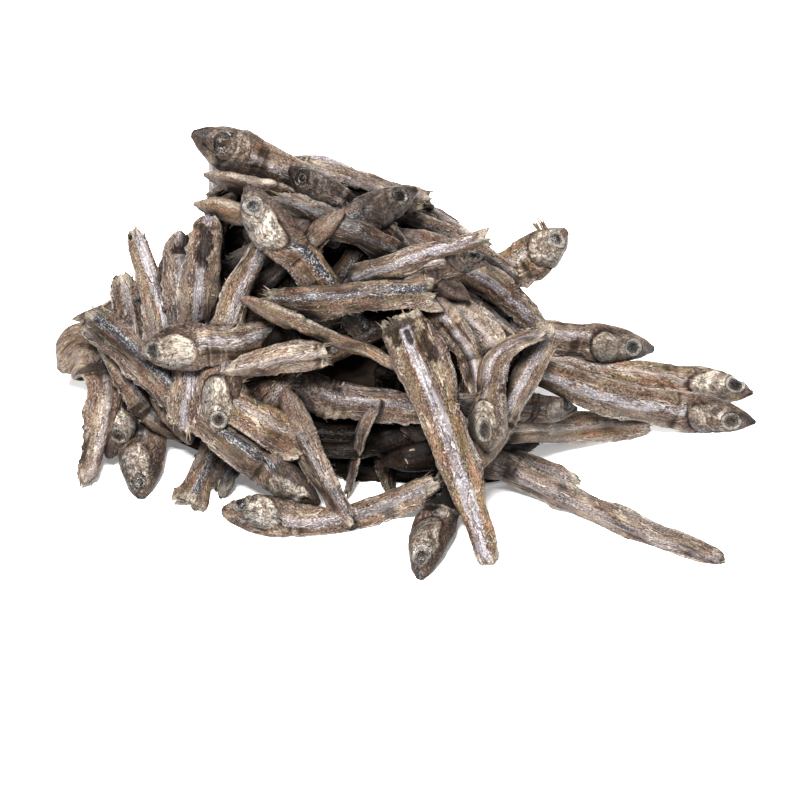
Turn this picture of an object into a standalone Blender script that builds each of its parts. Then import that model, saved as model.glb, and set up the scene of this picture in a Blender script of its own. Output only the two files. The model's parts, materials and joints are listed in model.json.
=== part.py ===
# A heap of dried anchovies as it lies on a table: a low core mound with every fish that shows fused onto it.
# Metres, +Z up. The photograph looks from the -Y side, so the picture's right is +X.
import math
import random
from collections import namedtuple

import bmesh
import bpy
import numpy as np
from mathutils import Vector
from mathutils.bvhtree import BVHTree

MM = 0.001

# One fish
LONGEST_FISH = 73.5 * MM
HEAD_LENGTH = 14.5 * MM
BODY_DEPTH = 9.4 * MM  # back to belly, at the gill cover
BODY_THICKNESS = 5.0 * MM
TAIL_DEPTH = 3.2 * MM
BELLY_DROP = 0.10  # share of the depth by which the belly hangs lower than the back rises
SIDES = 6

# The photograph: the longest fish gives its scale
LONGEST_FISH_PIXELS = 312
PIXEL = LONGEST_FISH / LONGEST_FISH_PIXELS
PICTURE_MIDDLE = (400, 400)
VIEW_ELEVATION = math.radians(40)
MIDDLE_HEIGHT = 20 * MM  # what lies at the picture's middle, above the table

# The core mound under the fish
CORE_CENTRE = (-18 * MM, 27 * MM)
CORE_HALF_WIDTH = 46 * MM
CORE_HALF_DEPTH = 32 * MM
CORE_HEIGHT = 34 * MM
CORE_BUMP = 1.2 * MM
CORE_RINGS = 5
CORE_SIDES = 18

# How fish lie on each other
STATIONS = 17
PACKING = 0.5  # share of two bodies' thickness at which they rest, as dried fish dent and hook into each other
BALANCE = 0.42  # share of the length from the snout at which a fish balances
SAG = 0.6  # share of the gap under a fish that its body bends into
MOST_SAG = 7.0 * MM
STEEPEST = 0.5
TABLE_GAP = 0.3 * MM
PRESS_STEP = 0.5 * MM
MOST_PRESSES = 20

# The far side, which the photograph doesn't show
FAR_FISH = 24
FAR_DRAWS = 4500
FAR_LOWEST = -20 * MM  # up the drawing plane, where the first ones lie
FAR_RISE = 34 * MM
FAR_SPREAD = 5 * MM
MOST_AIR = 3.5 * MM  # mean gap under a far fish
FAR_LENGTHS = (54 * MM, 66 * MM)
FAR_SEED = 5
COVER_HALF = (100 * MM, 80 * MM)  # the part of the drawing plane searched for what hides them
COVER_CELL = 1 * MM

# seen: points from snout to tail in pixels of the 800 x 800 photograph, read by eye.
# back: where the back edge points, in degrees: 0 is left of the run from snout to tail, 90 is at the viewer.
Fish = namedtuple("Fish", "name seen back girth head", defaults=(1.0, True))

# From the lowest to the topmost
SEEN_FISH = [
    Fish("inner_low_left", [(330, 330), (285, 390), (238, 452)], 20),
    Fish("inner_floor", [(520, 472), (420, 474), (325, 462)], 180),
    Fish("inner_middle", [(300, 385), (380, 425), (468, 468)], 10),
    Fish("inner_dark_gap", [(372, 338), (400, 290), (432, 240)], 0),
    Fish("inner_right_low", [(360, 445), (430, 425), (505, 405)], 170),
    Fish("inner_centre", [(300, 300), (380, 335), (465, 385)], 10),
    Fish("inner_left", [(265, 290), (225, 330), (195, 385)], 180),
    Fish("inner_top", [(250, 250), (310, 225), (385, 215)], 10),
    Fish("low_right_flap", [(400, 428), (490, 452), (582, 484)], 20, 0.8),
    Fish("low_right_stub", [(380, 462), (460, 450), (540, 440)], 0, 0.8),
    Fish("low_right_long", [(438, 442), (500, 466), (590, 508), (660, 541), (725, 563)], 30, 0.85),
    Fish("front_head", [(420, 581), (432, 535), (455, 480), (478, 360)], 170),
    Fish("right_middle_tail", [(430, 430), (540, 428), (652, 424)], 15, 0.85),
    Fish("right_dark_snout", [(578, 409), (520, 408), (430, 398)], 160, 0.75),
    Fish("right_middle_head", [(756, 394), (700, 387), (615, 374), (470, 350)], 185),
    Fish("right_low_head", [(758, 424), (690, 411), (610, 396), (480, 350)], 170),
    Fish("right_high_head", [(656, 349), (590, 340), (540, 333), (430, 305)], 180),
    Fish("far_right_head", [(568, 229), (545, 246), (512, 268), (460, 275), (405, 300)], 200, 1.15),
    Fish("slope_back", [(345, 195), (415, 222), (470, 246), (520, 280)], 40, 0.85),
    Fish("slope_second", [(325, 215), (400, 243), (450, 268), (500, 300)], 30, 0.85),
    Fish("slope_broad", [(390, 232), (440, 255), (495, 285), (545, 330)], 0),
    Fish("slope_thin", [(385, 245), (430, 275), (480, 308), (530, 345)], 80, 0.8),
    Fish("slope_fourth", [(395, 268), (440, 295), (490, 325), (530, 362)], 50, 0.85),
    Fish("slope_pale", [(415, 278), (450, 305), (485, 335), (520, 378)], 10),
    Fish("slope_front", [(418, 285), (450, 325), (470, 355), (482, 400)], 20, 0.85),
    Fish("top_cut", [(293, 168), (345, 182), (385, 193), (432, 199)], 10, 1.0, False),
    Fish("lookout", [(191, 133), (225, 147), (262, 164), (320, 192), (400, 238)], 10, 1.15),
    Fish("under_lookout", [(203, 174), (250, 187), (300, 200), (380, 235)], 60, 0.85),
    Fish("left_peak", [(193, 204), (235, 213), (280, 238), (335, 275)], 70),
    Fish("dark_top_head", [(289, 168), (312, 186), (345, 210), (420, 268)], 20),
    Fish("upper_right_head", [(417, 188), (388, 203), (350, 220), (300, 240), (250, 262)], 170),
    Fish("dark_diagonal", [(470, 300), (400, 256), (340, 225), (272, 197)], 170, 0.85),
    Fish("stub_up", [(235, 330), (280, 270), (332, 228)], 0, 0.7),
    Fish("thin_fork", [(345, 210), (300, 250), (246, 301)], 0, 0.6),
    Fish("left_gap_body", [(310, 222), (262, 250), (215, 275)], 0, 0.7),
    Fish("open_mouth", [(486, 258), (440, 264), (390, 275), (330, 300)], 190, 0.85),
    Fish("left_far_tail", [(230, 262), (150, 290), (77, 328)], 160, 0.7),
    Fish("left_back_body", [(152, 470), (125, 400), (105, 342)], 180, 0.85),
    Fish("left_down_head", [(141, 501), (142, 460), (140, 400), (130, 335), (121, 273)], 190),
    Fish("left_small_head", [(108, 459), (116, 420), (130, 375), (158, 325)], 0, 0.9),
    Fish("left_bent", [(57, 371), (80, 350), (102, 372), (98, 430), (84, 486)], 350),
    Fish("left_jaw", [(184, 441), (150, 414), (95, 335)], 200, 0.75),
    Fish("left_upright", [(195, 445), (175, 350), (158, 290), (137, 227)], 180, 0.9),
    Fish("left_curl", [(180, 231), (178, 270), (185, 330), (192, 430)], 0, 0.9, False),
    Fish("low_left_tail", [(250, 375), (215, 445), (186, 512)], 0, 0.85),
    Fish("low_left_stub", [(285, 395), (245, 445), (211, 494)], 20, 0.85),
    Fish("golden_flank", [(180, 378), (225, 412), (265, 436), (302, 456)], 0),
    Fish("left_long", [(320, 505), (275, 472), (215, 428), (150, 368), (84, 312)], 180),
    Fish("left_broad", [(211, 215), (204, 260), (200, 320), (184, 434)], 20, 1.05),
    Fish("middle_eye_head", [(214, 434), (221, 395), (226, 340), (240, 290), (268, 235)], 170),
    Fish("upper_crossing", [(300, 335), (345, 285), (400, 264), (445, 249), (492, 236)], 10, 0.8),
    Fish("upper_eye_head", [(247, 185), (270, 225), (305, 262), (370, 340)], 350, 1.1),
    Fish("middle_dark_head", [(268, 370), (310, 390), (360, 402), (450, 408)], 10, 1.05),
    Fish("middle_left_head", [(138, 352), (185, 346), (240, 343), (290, 328), (345, 310)], 10, 1.05),
    Fish("middle_striped", [(262, 303), (310, 302), (370, 296), (441, 291)], 5, 0.95, False),
    Fish("middle_thin", [(239, 297), (290, 320), (345, 342), (412, 372)], 60, 0.75),
    Fish("pale_scroll", [(333, 353), (290, 356), (225, 372)], 150, 0.85, False),
    Fish("low_middle_thin", [(382, 400), (360, 440), (345, 498)], 60, 0.5),
    Fish("front_left_head", [(221, 510), (250, 515), (300, 524), (350, 518), (440, 482)], 350),
    Fish("front_speckled", [(282, 385), (305, 440), (330, 490), (354, 527)], 30, 0.85),
    Fish("hook_tail", [(470, 475), (500, 420), (525, 375), (552, 326)], 0, 0.8),
    Fish("front_stripe", [(398, 312), (425, 375), (452, 450), (472, 510), (490, 568)], 180, 1.2, False),
    Fish("front_bent_head", [(487, 460), (488, 415), (492, 370), (512, 345), (548, 330)], 120),
]


def clear_scene():
    for obj in list(bpy.data.objects):
        bpy.data.objects.remove(obj, do_unlink=True)


class Side:
    """A drawing plane that faces a viewer at this azimuth round the heap: 0 is the photograph's own side."""

    def __init__(self, azimuth=0.0, elevation=VIEW_ELEVATION, middle=(0.0, 0.0, MIDDLE_HEIGHT)):
        turn_sin, turn_cos = math.sin(azimuth), math.cos(azimuth)
        rise_sin, rise_cos = math.sin(elevation), math.cos(elevation)
        self.axes = np.array([
            (turn_cos, turn_sin, 0.0),  # across
            (-turn_sin * rise_sin, turn_cos * rise_sin, rise_cos),  # up the picture
            (turn_sin * rise_cos, -turn_cos * rise_cos, rise_sin),  # towards the viewer
        ])
        self.middle = np.array(middle)

    def to_world(self, drawn):
        return self.middle + drawn @ self.axes

    def from_world(self, points):
        return (points - self.middle) @ self.axes.T


def picture_to_plane(pixels):
    """Pixels of the photograph as metres across and up the drawing plane."""
    across = (np.array(pixels, float) - PICTURE_MIDDLE) * PIXEL
    return across * (1, -1)


def even_run(points, count):
    """Evenly spaced points along a smooth curve through the given ones."""
    points = np.array(points, float)
    ends = np.vstack([2 * points[0] - points[1], points, 2 * points[-1] - points[-2]])
    fine = []
    for a, b, c, d in zip(ends, ends[1:], ends[2:], ends[3:]):
        for t in np.linspace(0, 1, 8, endpoint=False):
            fine.append(b + 0.5 * t * (c - a + t * (2 * a - 5 * b + 4 * c - d + t * (3 * (b - c) + d - a))))
    fine = np.array(fine + [points[-1]])
    arc = np.concatenate([[0], np.cumsum(np.linalg.norm(np.diff(fine, axis=0), axis=1))])
    wanted = np.linspace(0, arc[-1], count)
    return np.column_stack([np.interp(wanted, arc, column) for column in fine.T])


def body_sizes(distance, length, girth, head):
    """Half depth and half thickness at this distance from the snout."""
    head_length = min(HEAD_LENGTH, 0.3 * length)
    where = [0, 0.18, 0.5, 0.9, 1.25]  # head lengths
    depth = [0.10, 0.46, 0.80, 0.96, 0.90]
    thickness = [0.16, 0.58, 0.92, 1.0, 0.88]
    if not head:
        depth[:3] = [0.70, 0.78, 0.84]
        thickness[:3] = [0.45, 0.62, 0.74]
    places = [share * head_length for share in where] + [0.62 * length, 0.86 * length, length]
    tail = TAIL_DEPTH / BODY_DEPTH
    half_depth = np.interp(distance, places, depth + [0.78, 0.54, tail]) * BODY_DEPTH / 2 * girth
    half_thickness = np.interp(distance, places, thickness + [0.76, 0.48, 0.22]) * BODY_THICKNESS / 2 * girth
    return half_depth, half_thickness


def core_and_table(side, run):
    """Depths towards the viewer at which each point of the run meets the core mound and the table.

    The third result is negative where the sight line passes the core by."""
    flat = side.to_world(np.column_stack([run, np.zeros(len(run))]))
    towards = side.axes[2]
    scale = np.array([CORE_HALF_WIDTH, CORE_HALF_DEPTH])
    start = (flat[:, :2] - CORE_CENTRE) / scale
    step = towards[:2] / scale
    # height = CORE_HEIGHT * (1 - radius^2) along the sight line is a quadratic in the depth
    square = CORE_HEIGHT * (step @ step)
    linear = towards[2] + 2 * CORE_HEIGHT * (start @ step)
    constant = flat[:, 2] - CORE_HEIGHT * (1 - (start ** 2).sum(axis=1))
    meets = linear ** 2 - 4 * square * constant
    on_core = (np.sqrt(np.maximum(meets, 0)) - linear) / (2 * square)
    on_table = -flat[:, 2] / towards[2]
    return on_core, on_table, meets


def rest_line(shares, needed):
    """The straight line on which the fish balances over its two highest supports."""
    best = None
    for i, low in enumerate(shares):
        for j, high in enumerate(shares):
            if not low <= BALANCE < high:
                continue
            level = (needed[i] * (high - BALANCE) + needed[j] * (BALANCE - low)) / (high - low)
            if best is None or level > best[0]:
                best = (level, (needed[j] - needed[i]) / (high - low))
    return best


def lay(side, run, back, girth, head, lying):
    """Spine and back directions of a fish laid on the core, the table and the bodies that already lie there."""
    length = np.linalg.norm(np.diff(run, axis=0), axis=1).sum()
    shares = np.linspace(0, 1, STATIONS)
    half_depth, half_thickness = body_sizes(shares * length, length, girth, head)
    flat, edge = abs(math.cos(back)), abs(math.sin(back))
    reach = flat * half_depth + edge * half_thickness
    thick = np.minimum(flat * half_thickness + edge * half_depth, reach)
    along = np.gradient(run, axis=0)
    along /= np.linalg.norm(along, axis=1)[:, None]
    left = np.column_stack([-along[:, 1], along[:, 0]])
    on_core, on_table, _ = core_and_table(side, run)
    needed = np.maximum(on_core, on_table) + thick * PACKING
    rows = [run + left * (share * reach)[:, None] for share in (-0.5, 0, 0.5)]
    if len(lying):
        drawn = side.from_world(lying[:, :3])
        near = (drawn[:, :2] > run.min(axis=0) - 2 * BODY_DEPTH) & (drawn[:, :2] < run.max(axis=0) + 2 * BODY_DEPTH)
        drawn, radii = drawn[near.all(axis=1)], lying[near.all(axis=1), 3]
        for row in rows if len(drawn) else ():
            gap = ((row[:, None, :] - drawn[None, :, :2]) ** 2).sum(axis=2)
            touch = (thick[:, None] + radii[None, :]) ** 2
            apart = PACKING * np.sqrt(np.maximum(touch - gap, 0))
            needed = np.maximum(needed, np.where(gap < touch, drawn[None, :, 2] + apart, -1.0).max(axis=1))
    level, slope = rest_line(shares, needed)
    slope = max(-STEEPEST * length, min(STEEPEST * length, slope))
    depth = np.maximum(level + slope * (shares - BALANCE), needed)
    sag = np.minimum(SAG * (depth - needed), MOST_SAG)
    depth -= np.convolve(np.pad(sag, 2, mode="edge"), np.full(5, 0.2), mode="valid")
    spine = side.to_world(np.column_stack([run, depth]))
    backs = side.to_world(np.column_stack([left * math.cos(back), np.full(STATIONS, math.sin(back))])) - side.middle
    spheres = [np.column_stack([side.to_world(np.column_stack([row, depth])), thick]) for row in rows]
    return spine, backs, np.vstack(spheres), (depth - needed).mean()


def unit(vectors):
    return vectors / np.maximum(np.linalg.norm(vectors, axis=-1, keepdims=True), 1e-9)


def fish_solid(name, spine, backs, girth, head, collection):
    """A closed body of few sides: rings round the spine from the snout to the torn tail."""
    arc = np.concatenate([[0], np.cumsum(np.linalg.norm(np.diff(spine, axis=0), axis=1))])
    length = arc[-1]
    head_length = min(HEAD_LENGTH, 0.3 * length)
    stops = [share * head_length for share in (0.18, 0.5, 0.9, 1.25)] + [0.62 * length, 0.86 * length, length]
    half_depth, half_thickness = body_sizes(np.array(stops), length, girth, head)
    middle = np.column_stack([np.interp(stops, arc, column) for column in spine.T])
    along = unit(np.column_stack([np.interp(stops, arc, column) for column in np.gradient(spine, axis=0).T]))
    upper = np.column_stack([np.interp(stops, arc, column) for column in backs.T])
    upper = unit(upper - along * (upper * along).sum(axis=1)[:, None])
    flank = np.cross(along, upper)
    mesh = bmesh.new()
    rings = []
    for k in range(len(stops)):
        ring = []
        for corner in range(SIDES):
            turn = 2 * math.pi * corner / SIDES
            rise = math.cos(turn) - BELLY_DROP * (1 - math.cos(turn)) / 2
            place = middle[k] + upper[k] * half_depth[k] * rise + flank[k] * half_thickness[k] * math.sin(turn)
            ring.append(mesh.verts.new(place))
        rings.append(ring)
    snout = mesh.verts.new(spine[0])
    tail = mesh.verts.new(middle[-1] + along[-1] * TAIL_DEPTH * 0.3)
    for k in range(SIDES):
        after = (k + 1) % SIDES
        mesh.faces.new((snout, rings[0][after], rings[0][k]))
        mesh.faces.new((tail, rings[-1][k], rings[-1][after]))
        for near, far in zip(rings, rings[1:]):
            mesh.faces.new((near[k], near[after], far[after], far[k]))
    for vert in mesh.verts:
        vert.co.z = max(vert.co.z, TABLE_GAP)
    bmesh.ops.recalc_face_normals(mesh, faces=mesh.faces)
    bmesh.ops.triangulate(mesh, faces=mesh.faces)
    return link_mesh(name, mesh, collection)


def link_mesh(name, mesh, collection):
    data = bpy.data.meshes.new(name)
    mesh.to_mesh(data)
    mesh.free()
    obj = bpy.data.objects.new(name, data)
    collection.objects.link(obj)
    return obj


def core_mound(name, collection):
    """The bumpy mound under the fish, with a flat face on the table."""
    draw = random.Random(3)
    mesh = bmesh.new()
    rings = []
    for k in range(CORE_RINGS):
        share = math.sqrt(1 - k / CORE_RINGS)
        ring = []
        for corner in range(CORE_SIDES):
            turn = 2 * math.pi * corner / CORE_SIDES
            bump = CORE_BUMP * draw.uniform(-1, 1) if k else 0
            reach = np.array((CORE_HALF_WIDTH, CORE_HALF_DEPTH)) * share + bump
            x, y = np.array(CORE_CENTRE) + reach * (math.cos(turn), math.sin(turn))
            ring.append(mesh.verts.new((x, y, CORE_HEIGHT * k / CORE_RINGS)))
        rings.append(ring)
    top = mesh.verts.new((*CORE_CENTRE, CORE_HEIGHT))
    mesh.faces.new(rings[0][::-1])
    for k in range(CORE_SIDES):
        after = (k + 1) % CORE_SIDES
        mesh.faces.new((rings[-1][k], rings[-1][after], top))
        for low, high in zip(rings, rings[1:]):
            mesh.faces.new((low[k], low[after], high[after], high[k]))
    bmesh.ops.triangulate(mesh, faces=mesh.faces)
    return link_mesh(name, mesh, collection)


def picture_cover(front, spheres):
    """The depth of what the photograph shows in each cell of the drawing plane, and -1 where it shows bare ground."""
    counts = [round(2 * half / COVER_CELL) for half in COVER_HALF]
    across, up = [(np.arange(count) + 0.5) * COVER_CELL - half for count, half in zip(counts, COVER_HALF)]
    cells = np.stack(np.meshgrid(across, up, indexing="ij"), axis=-1)
    on_core, on_table, meets = core_and_table(front, cells.reshape(-1, 2))
    cover = np.where((meets > 0) & (on_core > on_table), on_core, -1.0).reshape(counts)
    drawn = front.from_world(spheres[:, :3])
    for (x, y, depth), radius in zip(drawn, spheres[:, 3]):
        near = (cells[..., 0] - x) ** 2 + (cells[..., 1] - y) ** 2 < radius ** 2
        cover[near] = np.maximum(cover[near], depth)
    return cover


def is_hidden(points, front, cover):
    """Whether every one of these points lies behind something that the photograph shows."""
    drawn = front.from_world(points)
    cells = ((drawn[:, :2] + COVER_HALF) / COVER_CELL).astype(int)
    cells = np.clip(cells, 0, np.array(cover.shape) - 1)
    return bool((cover[cells[:, 0], cells[:, 1]] > drawn[:, 2]).all())


def far_fish(front, lying, collection):
    """Fish on the far side, drawn by a seeded rule and kept only where the photograph wouldn't show them."""
    draw = random.Random(FAR_SEED)
    cover = picture_cover(front, lying)
    made = 0
    for _ in range(FAR_DRAWS):
        if made == FAR_FISH:
            break
        azimuth = math.radians(draw.uniform(95, 265))
        side = Side(azimuth, math.radians(38), (*CORE_CENTRE, MIDDLE_HEIGHT * 0.6))
        length = draw.uniform(*FAR_LENGTHS)
        heading = math.radians(draw.gauss(0, 38)) + draw.choice((0, math.pi))
        rise = FAR_LOWEST + FAR_RISE * made / FAR_FISH
        middle = np.array((draw.uniform(-0.8, 0.8) * CORE_HALF_WIDTH, rise + FAR_SPREAD * draw.uniform(-1, 1)))
        ahead = np.array((math.cos(heading), math.sin(heading)))
        bow = np.array((-ahead[1], ahead[0])) * draw.uniform(-0.07, 0.07) * length
        run = even_run([middle - ahead * length / 2, middle + bow, middle + ahead * length / 2], STATIONS)
        back = math.radians(draw.gauss(0, 25)) + draw.choice((0, math.pi))
        girth = draw.uniform(0.85, 1.05)
        tries = run[::4]
        on_ground = np.maximum(*core_and_table(side, tries)[:2])
        if not is_hidden(side.to_world(np.column_stack([tries, on_ground])), front, cover):
            continue
        spine, backs, spheres, air = lay(side, run, back, girth, True, lying)
        if air > MOST_AIR:
            continue
        obj = fish_solid(f"far_{made}", spine, backs, girth, True, collection)
        if not is_hidden(np.array([vert.co for vert in obj.data.vertices]), front, cover):
            bpy.data.objects.remove(obj, do_unlink=True)
            continue
        obj["towards"] = list(side.axes[2])
        made += 1
        lying = np.vstack([lying, spheres])
    print(made, "fish on the far side")


def surface(obj):
    return BVHTree.FromPolygons([vert.co for vert in obj.data.vertices], [face.vertices for face in obj.data.polygons])


def joined_to(core, trees):
    """The core and every body that a chain of overlaps joins to it."""
    joined, edge = {core}, [core]
    while edge:
        near = edge.pop()
        for other in set(trees) - joined:
            if trees[near].overlap(trees[other]):
                joined.add(other)
                edge.append(other)
    return joined


def press_home(core, collection):
    """Moves each fish that touches nothing in, away from whoever looks at it, until it meets the rest."""
    trees = {obj: surface(obj) for obj in [core, *collection.objects]}
    joined = joined_to(core, trees)
    for obj in list(collection.objects):
        if obj in joined:
            continue
        step = Vector(obj["towards"]) * -PRESS_STEP
        met = False
        for _ in range(MOST_PRESSES):
            for vert in obj.data.vertices:
                vert.co += step
                vert.co.z = max(vert.co.z, TABLE_GAP)
            if met:
                break
            trees[obj] = surface(obj)
            met = any(trees[obj].overlap(trees[other]) for other in joined)
        trees[obj] = surface(obj)
        joined = joined_to(core, trees)
        print(obj.name, "pressed in")


def fuse(core, collection):
    """The core with every fish joined on as one closed outer surface."""
    union = core.modifiers.new("union", "BOOLEAN")
    union.operation = "UNION"
    union.solver = "MANIFOLD"
    union.operand_type = "COLLECTION"
    union.collection = collection
    graph = bpy.context.evaluated_depsgraph_get()
    fused = bpy.data.meshes.new_from_object(core.evaluated_get(graph))
    core.modifiers.clear()
    core.data = fused
    for obj in list(collection.objects):
        bpy.data.objects.remove(obj, do_unlink=True)
    bpy.data.collections.remove(collection)


def shells(mesh):
    """The mesh's connected surfaces, each as a list of faces."""
    left = set(mesh.faces)
    found = []
    while left:
        stack = [left.pop()]
        shell = []
        while stack:
            face = stack.pop()
            shell.append(face)
            for edge in face.edges:
                for other in edge.link_faces:
                    if other in left:
                        left.remove(other)
                        stack.append(other)
        found.append(shell)
    return found


def shell_volume(shell):
    total = 0.0
    for face in shell:
        a, b, c = (vert.co for vert in face.verts)
        total += a.dot(b.cross(c)) / 6
    return total


def keep_outer_surface(obj):
    """Leaves out sealed hollows and any scrap that touches nothing."""
    mesh = bmesh.new()
    mesh.from_mesh(obj.data)
    bmesh.ops.triangulate(mesh, faces=mesh.faces)
    bmesh.ops.remove_doubles(mesh, verts=mesh.verts, dist=0.000002)
    found = sorted(shells(mesh), key=shell_volume)
    outer = found.pop()
    scraps = [shell for shell in found if shell_volume(shell) > 0]
    print(len(found) - len(scraps), "hollows filled,", len(scraps), "scraps dropped,", len(outer), "triangles")
    bmesh.ops.delete(mesh, geom=[face for shell in found for face in shell], context="FACES")
    mesh.to_mesh(obj.data)
    mesh.free()


def centre_on_origin(obj):
    places = np.array([vert.co for vert in obj.data.vertices])
    low, high = places.min(axis=0), places.max(axis=0)
    shift = (-(low[0] + high[0]) / 2, -(low[1] + high[1]) / 2, -low[2])
    print("shift", [round(value / MM, 3) for value in shift], "size", [round(v / MM, 1) for v in high - low])
    for vert in obj.data.vertices:
        vert.co = [value + move for value, move in zip(vert.co, shift)]


def dried_fish_material():
    material = bpy.data.materials.new("dried_fish")
    material.use_nodes = True
    shader = material.node_tree.nodes["Principled BSDF"]
    shader.inputs["Base Color"].default_value = (0.30, 0.235, 0.19, 1)
    shader.inputs["Roughness"].default_value = 0.5
    shader.inputs["Metallic"].default_value = 0.0
    return material


def build():
    clear_scene()
    heap = bpy.data.collections.new("dried_anchovies")
    loose = bpy.data.collections.new("loose_fish")
    bpy.context.scene.collection.children.link(heap)
    bpy.context.scene.collection.children.link(loose)
    front = Side()
    lying = np.empty((0, 4))
    for fish in SEEN_FISH:
        run = even_run(picture_to_plane(fish.seen), STATIONS)
        back = math.radians(fish.back)
        spine, backs, spheres, _ = lay(front, run, back, fish.girth, fish.head, lying)
        lying = np.vstack([lying, spheres])
        obj = fish_solid(fish.name, spine, backs, fish.girth, fish.head, loose)
        obj["towards"] = list(front.axes[2])
    far_fish(front, lying, loose)
    core = core_mound("anchovy_heap", heap)
    press_home(core, loose)
    fuse(core, loose)
    keep_outer_surface(core)
    centre_on_origin(core)
    core.data.materials.clear()
    core.data.materials.append(dried_fish_material())


build()
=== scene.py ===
import json
import math
import random

import bpy
import numpy as np
from mathutils import Matrix
from mathutils.bvhtree import BVHTree


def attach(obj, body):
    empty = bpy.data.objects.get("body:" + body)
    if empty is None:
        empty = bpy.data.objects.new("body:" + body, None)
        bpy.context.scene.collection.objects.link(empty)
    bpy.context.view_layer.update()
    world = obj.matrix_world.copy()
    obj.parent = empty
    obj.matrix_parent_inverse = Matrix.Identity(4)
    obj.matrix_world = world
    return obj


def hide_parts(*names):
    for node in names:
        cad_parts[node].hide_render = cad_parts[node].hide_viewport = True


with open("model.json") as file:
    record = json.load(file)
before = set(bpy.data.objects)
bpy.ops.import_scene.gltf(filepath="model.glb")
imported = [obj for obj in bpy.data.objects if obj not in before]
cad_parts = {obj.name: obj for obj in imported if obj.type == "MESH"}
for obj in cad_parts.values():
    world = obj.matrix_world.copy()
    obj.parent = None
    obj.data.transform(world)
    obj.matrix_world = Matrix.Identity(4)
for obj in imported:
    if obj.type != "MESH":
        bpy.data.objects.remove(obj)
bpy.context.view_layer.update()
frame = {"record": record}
mm = 0.001

# One fish, as the solid model has it. The stops are where along it the depths and thicknesses are given, in
# shares of the head, then of the whole fish. The cut ones take the first places on a fish without a head.
fishBody = {
    "longest": 73.5 * mm,
    "headLength": 14.5 * mm,
    "mostHead": 0.3,
    "depth": 9.4 * mm,
    "thickness": 5.0 * mm,
    "tailDepth": 3.2 * mm,
    "bellyDrop": 0.10,
    "sides": 6,
    "headStops": (0, 0.18, 0.5, 0.9, 1.25),
    "bodyStops": (0.62, 0.86, 1.0),
    "depths": (0.10, 0.46, 0.80, 0.96, 0.90, 0.78, 0.54),
    "thicknesses": (0.16, 0.58, 0.92, 1.0, 0.88, 0.76, 0.48, 0.22),
    "cutDepths": (0.70, 0.78, 0.84),
    "cutThicknesses": (0.45, 0.62, 0.74),
}

# The picture's scale and angle, and the grid of cells that tells what it shows
photo = {
    "longestPixels": 312,
    "middle": (400, 400),
    "elevation": math.radians(40),
    "middleHeight": 20 * mm,
    "width": 800,
    "coverHalf": (100 * mm, 80 * mm),
    "coverCell": 1 * mm,
}

# The mound in the middle of the heap
mound = {
    "centre": (-18 * mm, 27 * mm),
    "halfWidth": 46 * mm,
    "halfDepth": 32 * mm,
    "height": 34 * mm,
    "bump": 1.2 * mm,
    "rings": 5,
    "sides": 18,
    "seed": 3,
}

# How fish lie on each other
resting = {
    "stations": 17,
    "packing": 0.5,
    "balance": 0.42,
    "sag": 0.6,
    "mostSag": 7.0 * mm,
    "steepest": 0.5,
    "tableGap": 0.3 * mm,
    "farBelow": -1.0,
    "pressStep": 0.5 * mm,
    "mostPresses": 20,
}

# Fish drawn by chance on a plane that faces one of the azimuths: how many, in how many draws, how long and
# stout, how far their headings, bows and backs stray, and how far across and up the plane, as a range and its
# unit. They rise from the lowest place as more are found, and lie close above the rest. These are on the side
# that the photograph doesn't show.
farSide = {
    "name": "far",
    "fish": 24,
    "draws": 4500,
    "seed": 5,
    "azimuths": (95, 265),
    "elevation": math.radians(38),
    "middleHeight": photo["middleHeight"] * 0.6,
    "lengths": (54 * mm, 66 * mm),
    "girths": (0.85, 1.05),
    "headings": 38,
    "bows": 0.07,
    "backs": 25,
    "across": ((-0.8, 0.8), mound["halfWidth"]),
    "up": ((-1, 1), 5 * mm),
    "lowest": -20 * mm,
    "rise": 34 * mm,
    "mostAir": 3.5 * mm,
}

# Fish low on the mound, which close it off behind and between the ones that show
underlay = dict(
    farSide, name="under", fish=64, draws=2600, seed=11, azimuths=(0, 360), elevation=math.radians(45),
    middleHeight=10 * mm, lengths=(44 * mm, 60 * mm), headings=40, bows=0.09,
    across=((-0.75, 0.75), mound["halfDepth"]), up=((-14, 20), mm), lowest=0.0, rise=0.0, mostAir=2.5 * mm)

# Finishes: tone, warm bands, silver stripe, dark stripe, pearly gill cover, wrinkles
finishes = {
    "plain": (1.00, 0.45, 0.50, 0.30, 0.50, 1.0),
    "grey": (0.96, 0.15, 0.50, 0.30, 0.35, 1.0),
    "pale": (1.20, 0.10, 0.45, 0.05, 0.75, 0.9),
    "ashen": (1.04, 0.12, 0.60, 0.10, 0.75, 1.1),
    # dark: a dark fish, its low tone partly painted shade for fish down in the gaps
    "dark": (0.40, 0.50, 0.20, 0.50, 0.20, 1.3),
    "murky": (0.86, 0.35, 0.25, 0.60, 0.80, 1.3),
    # shaded: painted shade, a far lower tone for the fish deep inside the heap
    "shaded": (0.20, 0.40, 0.10, 0.20, 0.15, 1.0),
    "silver": (1.18, 0.45, 1.00, 0.15, 0.80, 0.8),
    "inky": (1.00, 0.60, 0.45, 1.00, 0.95, 0.9),
    "striped": (1.06, 0.80, 1.00, 0.15, 0.50, 0.9),
    "smoked": (0.76, 0.75, 0.85, 1.00, 0.95, 0.9),
    "golden": (1.08, 1.00, 0.12, 0.10, 0.50, 0.8),
    "tan": (1.22, 0.85, 0.25, 0.08, 0.85, 0.9),
    "lilac": (1.10, 0.30, 0.90, 0.20, 0.50, 1.0),
    "wrinkled": (0.66, 0.25, 0.20, 0.50, 0.12, 1.8),
    "cream": (1.15, 0.40, 0.70, 0.25, 1.00, 0.9),
}

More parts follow.
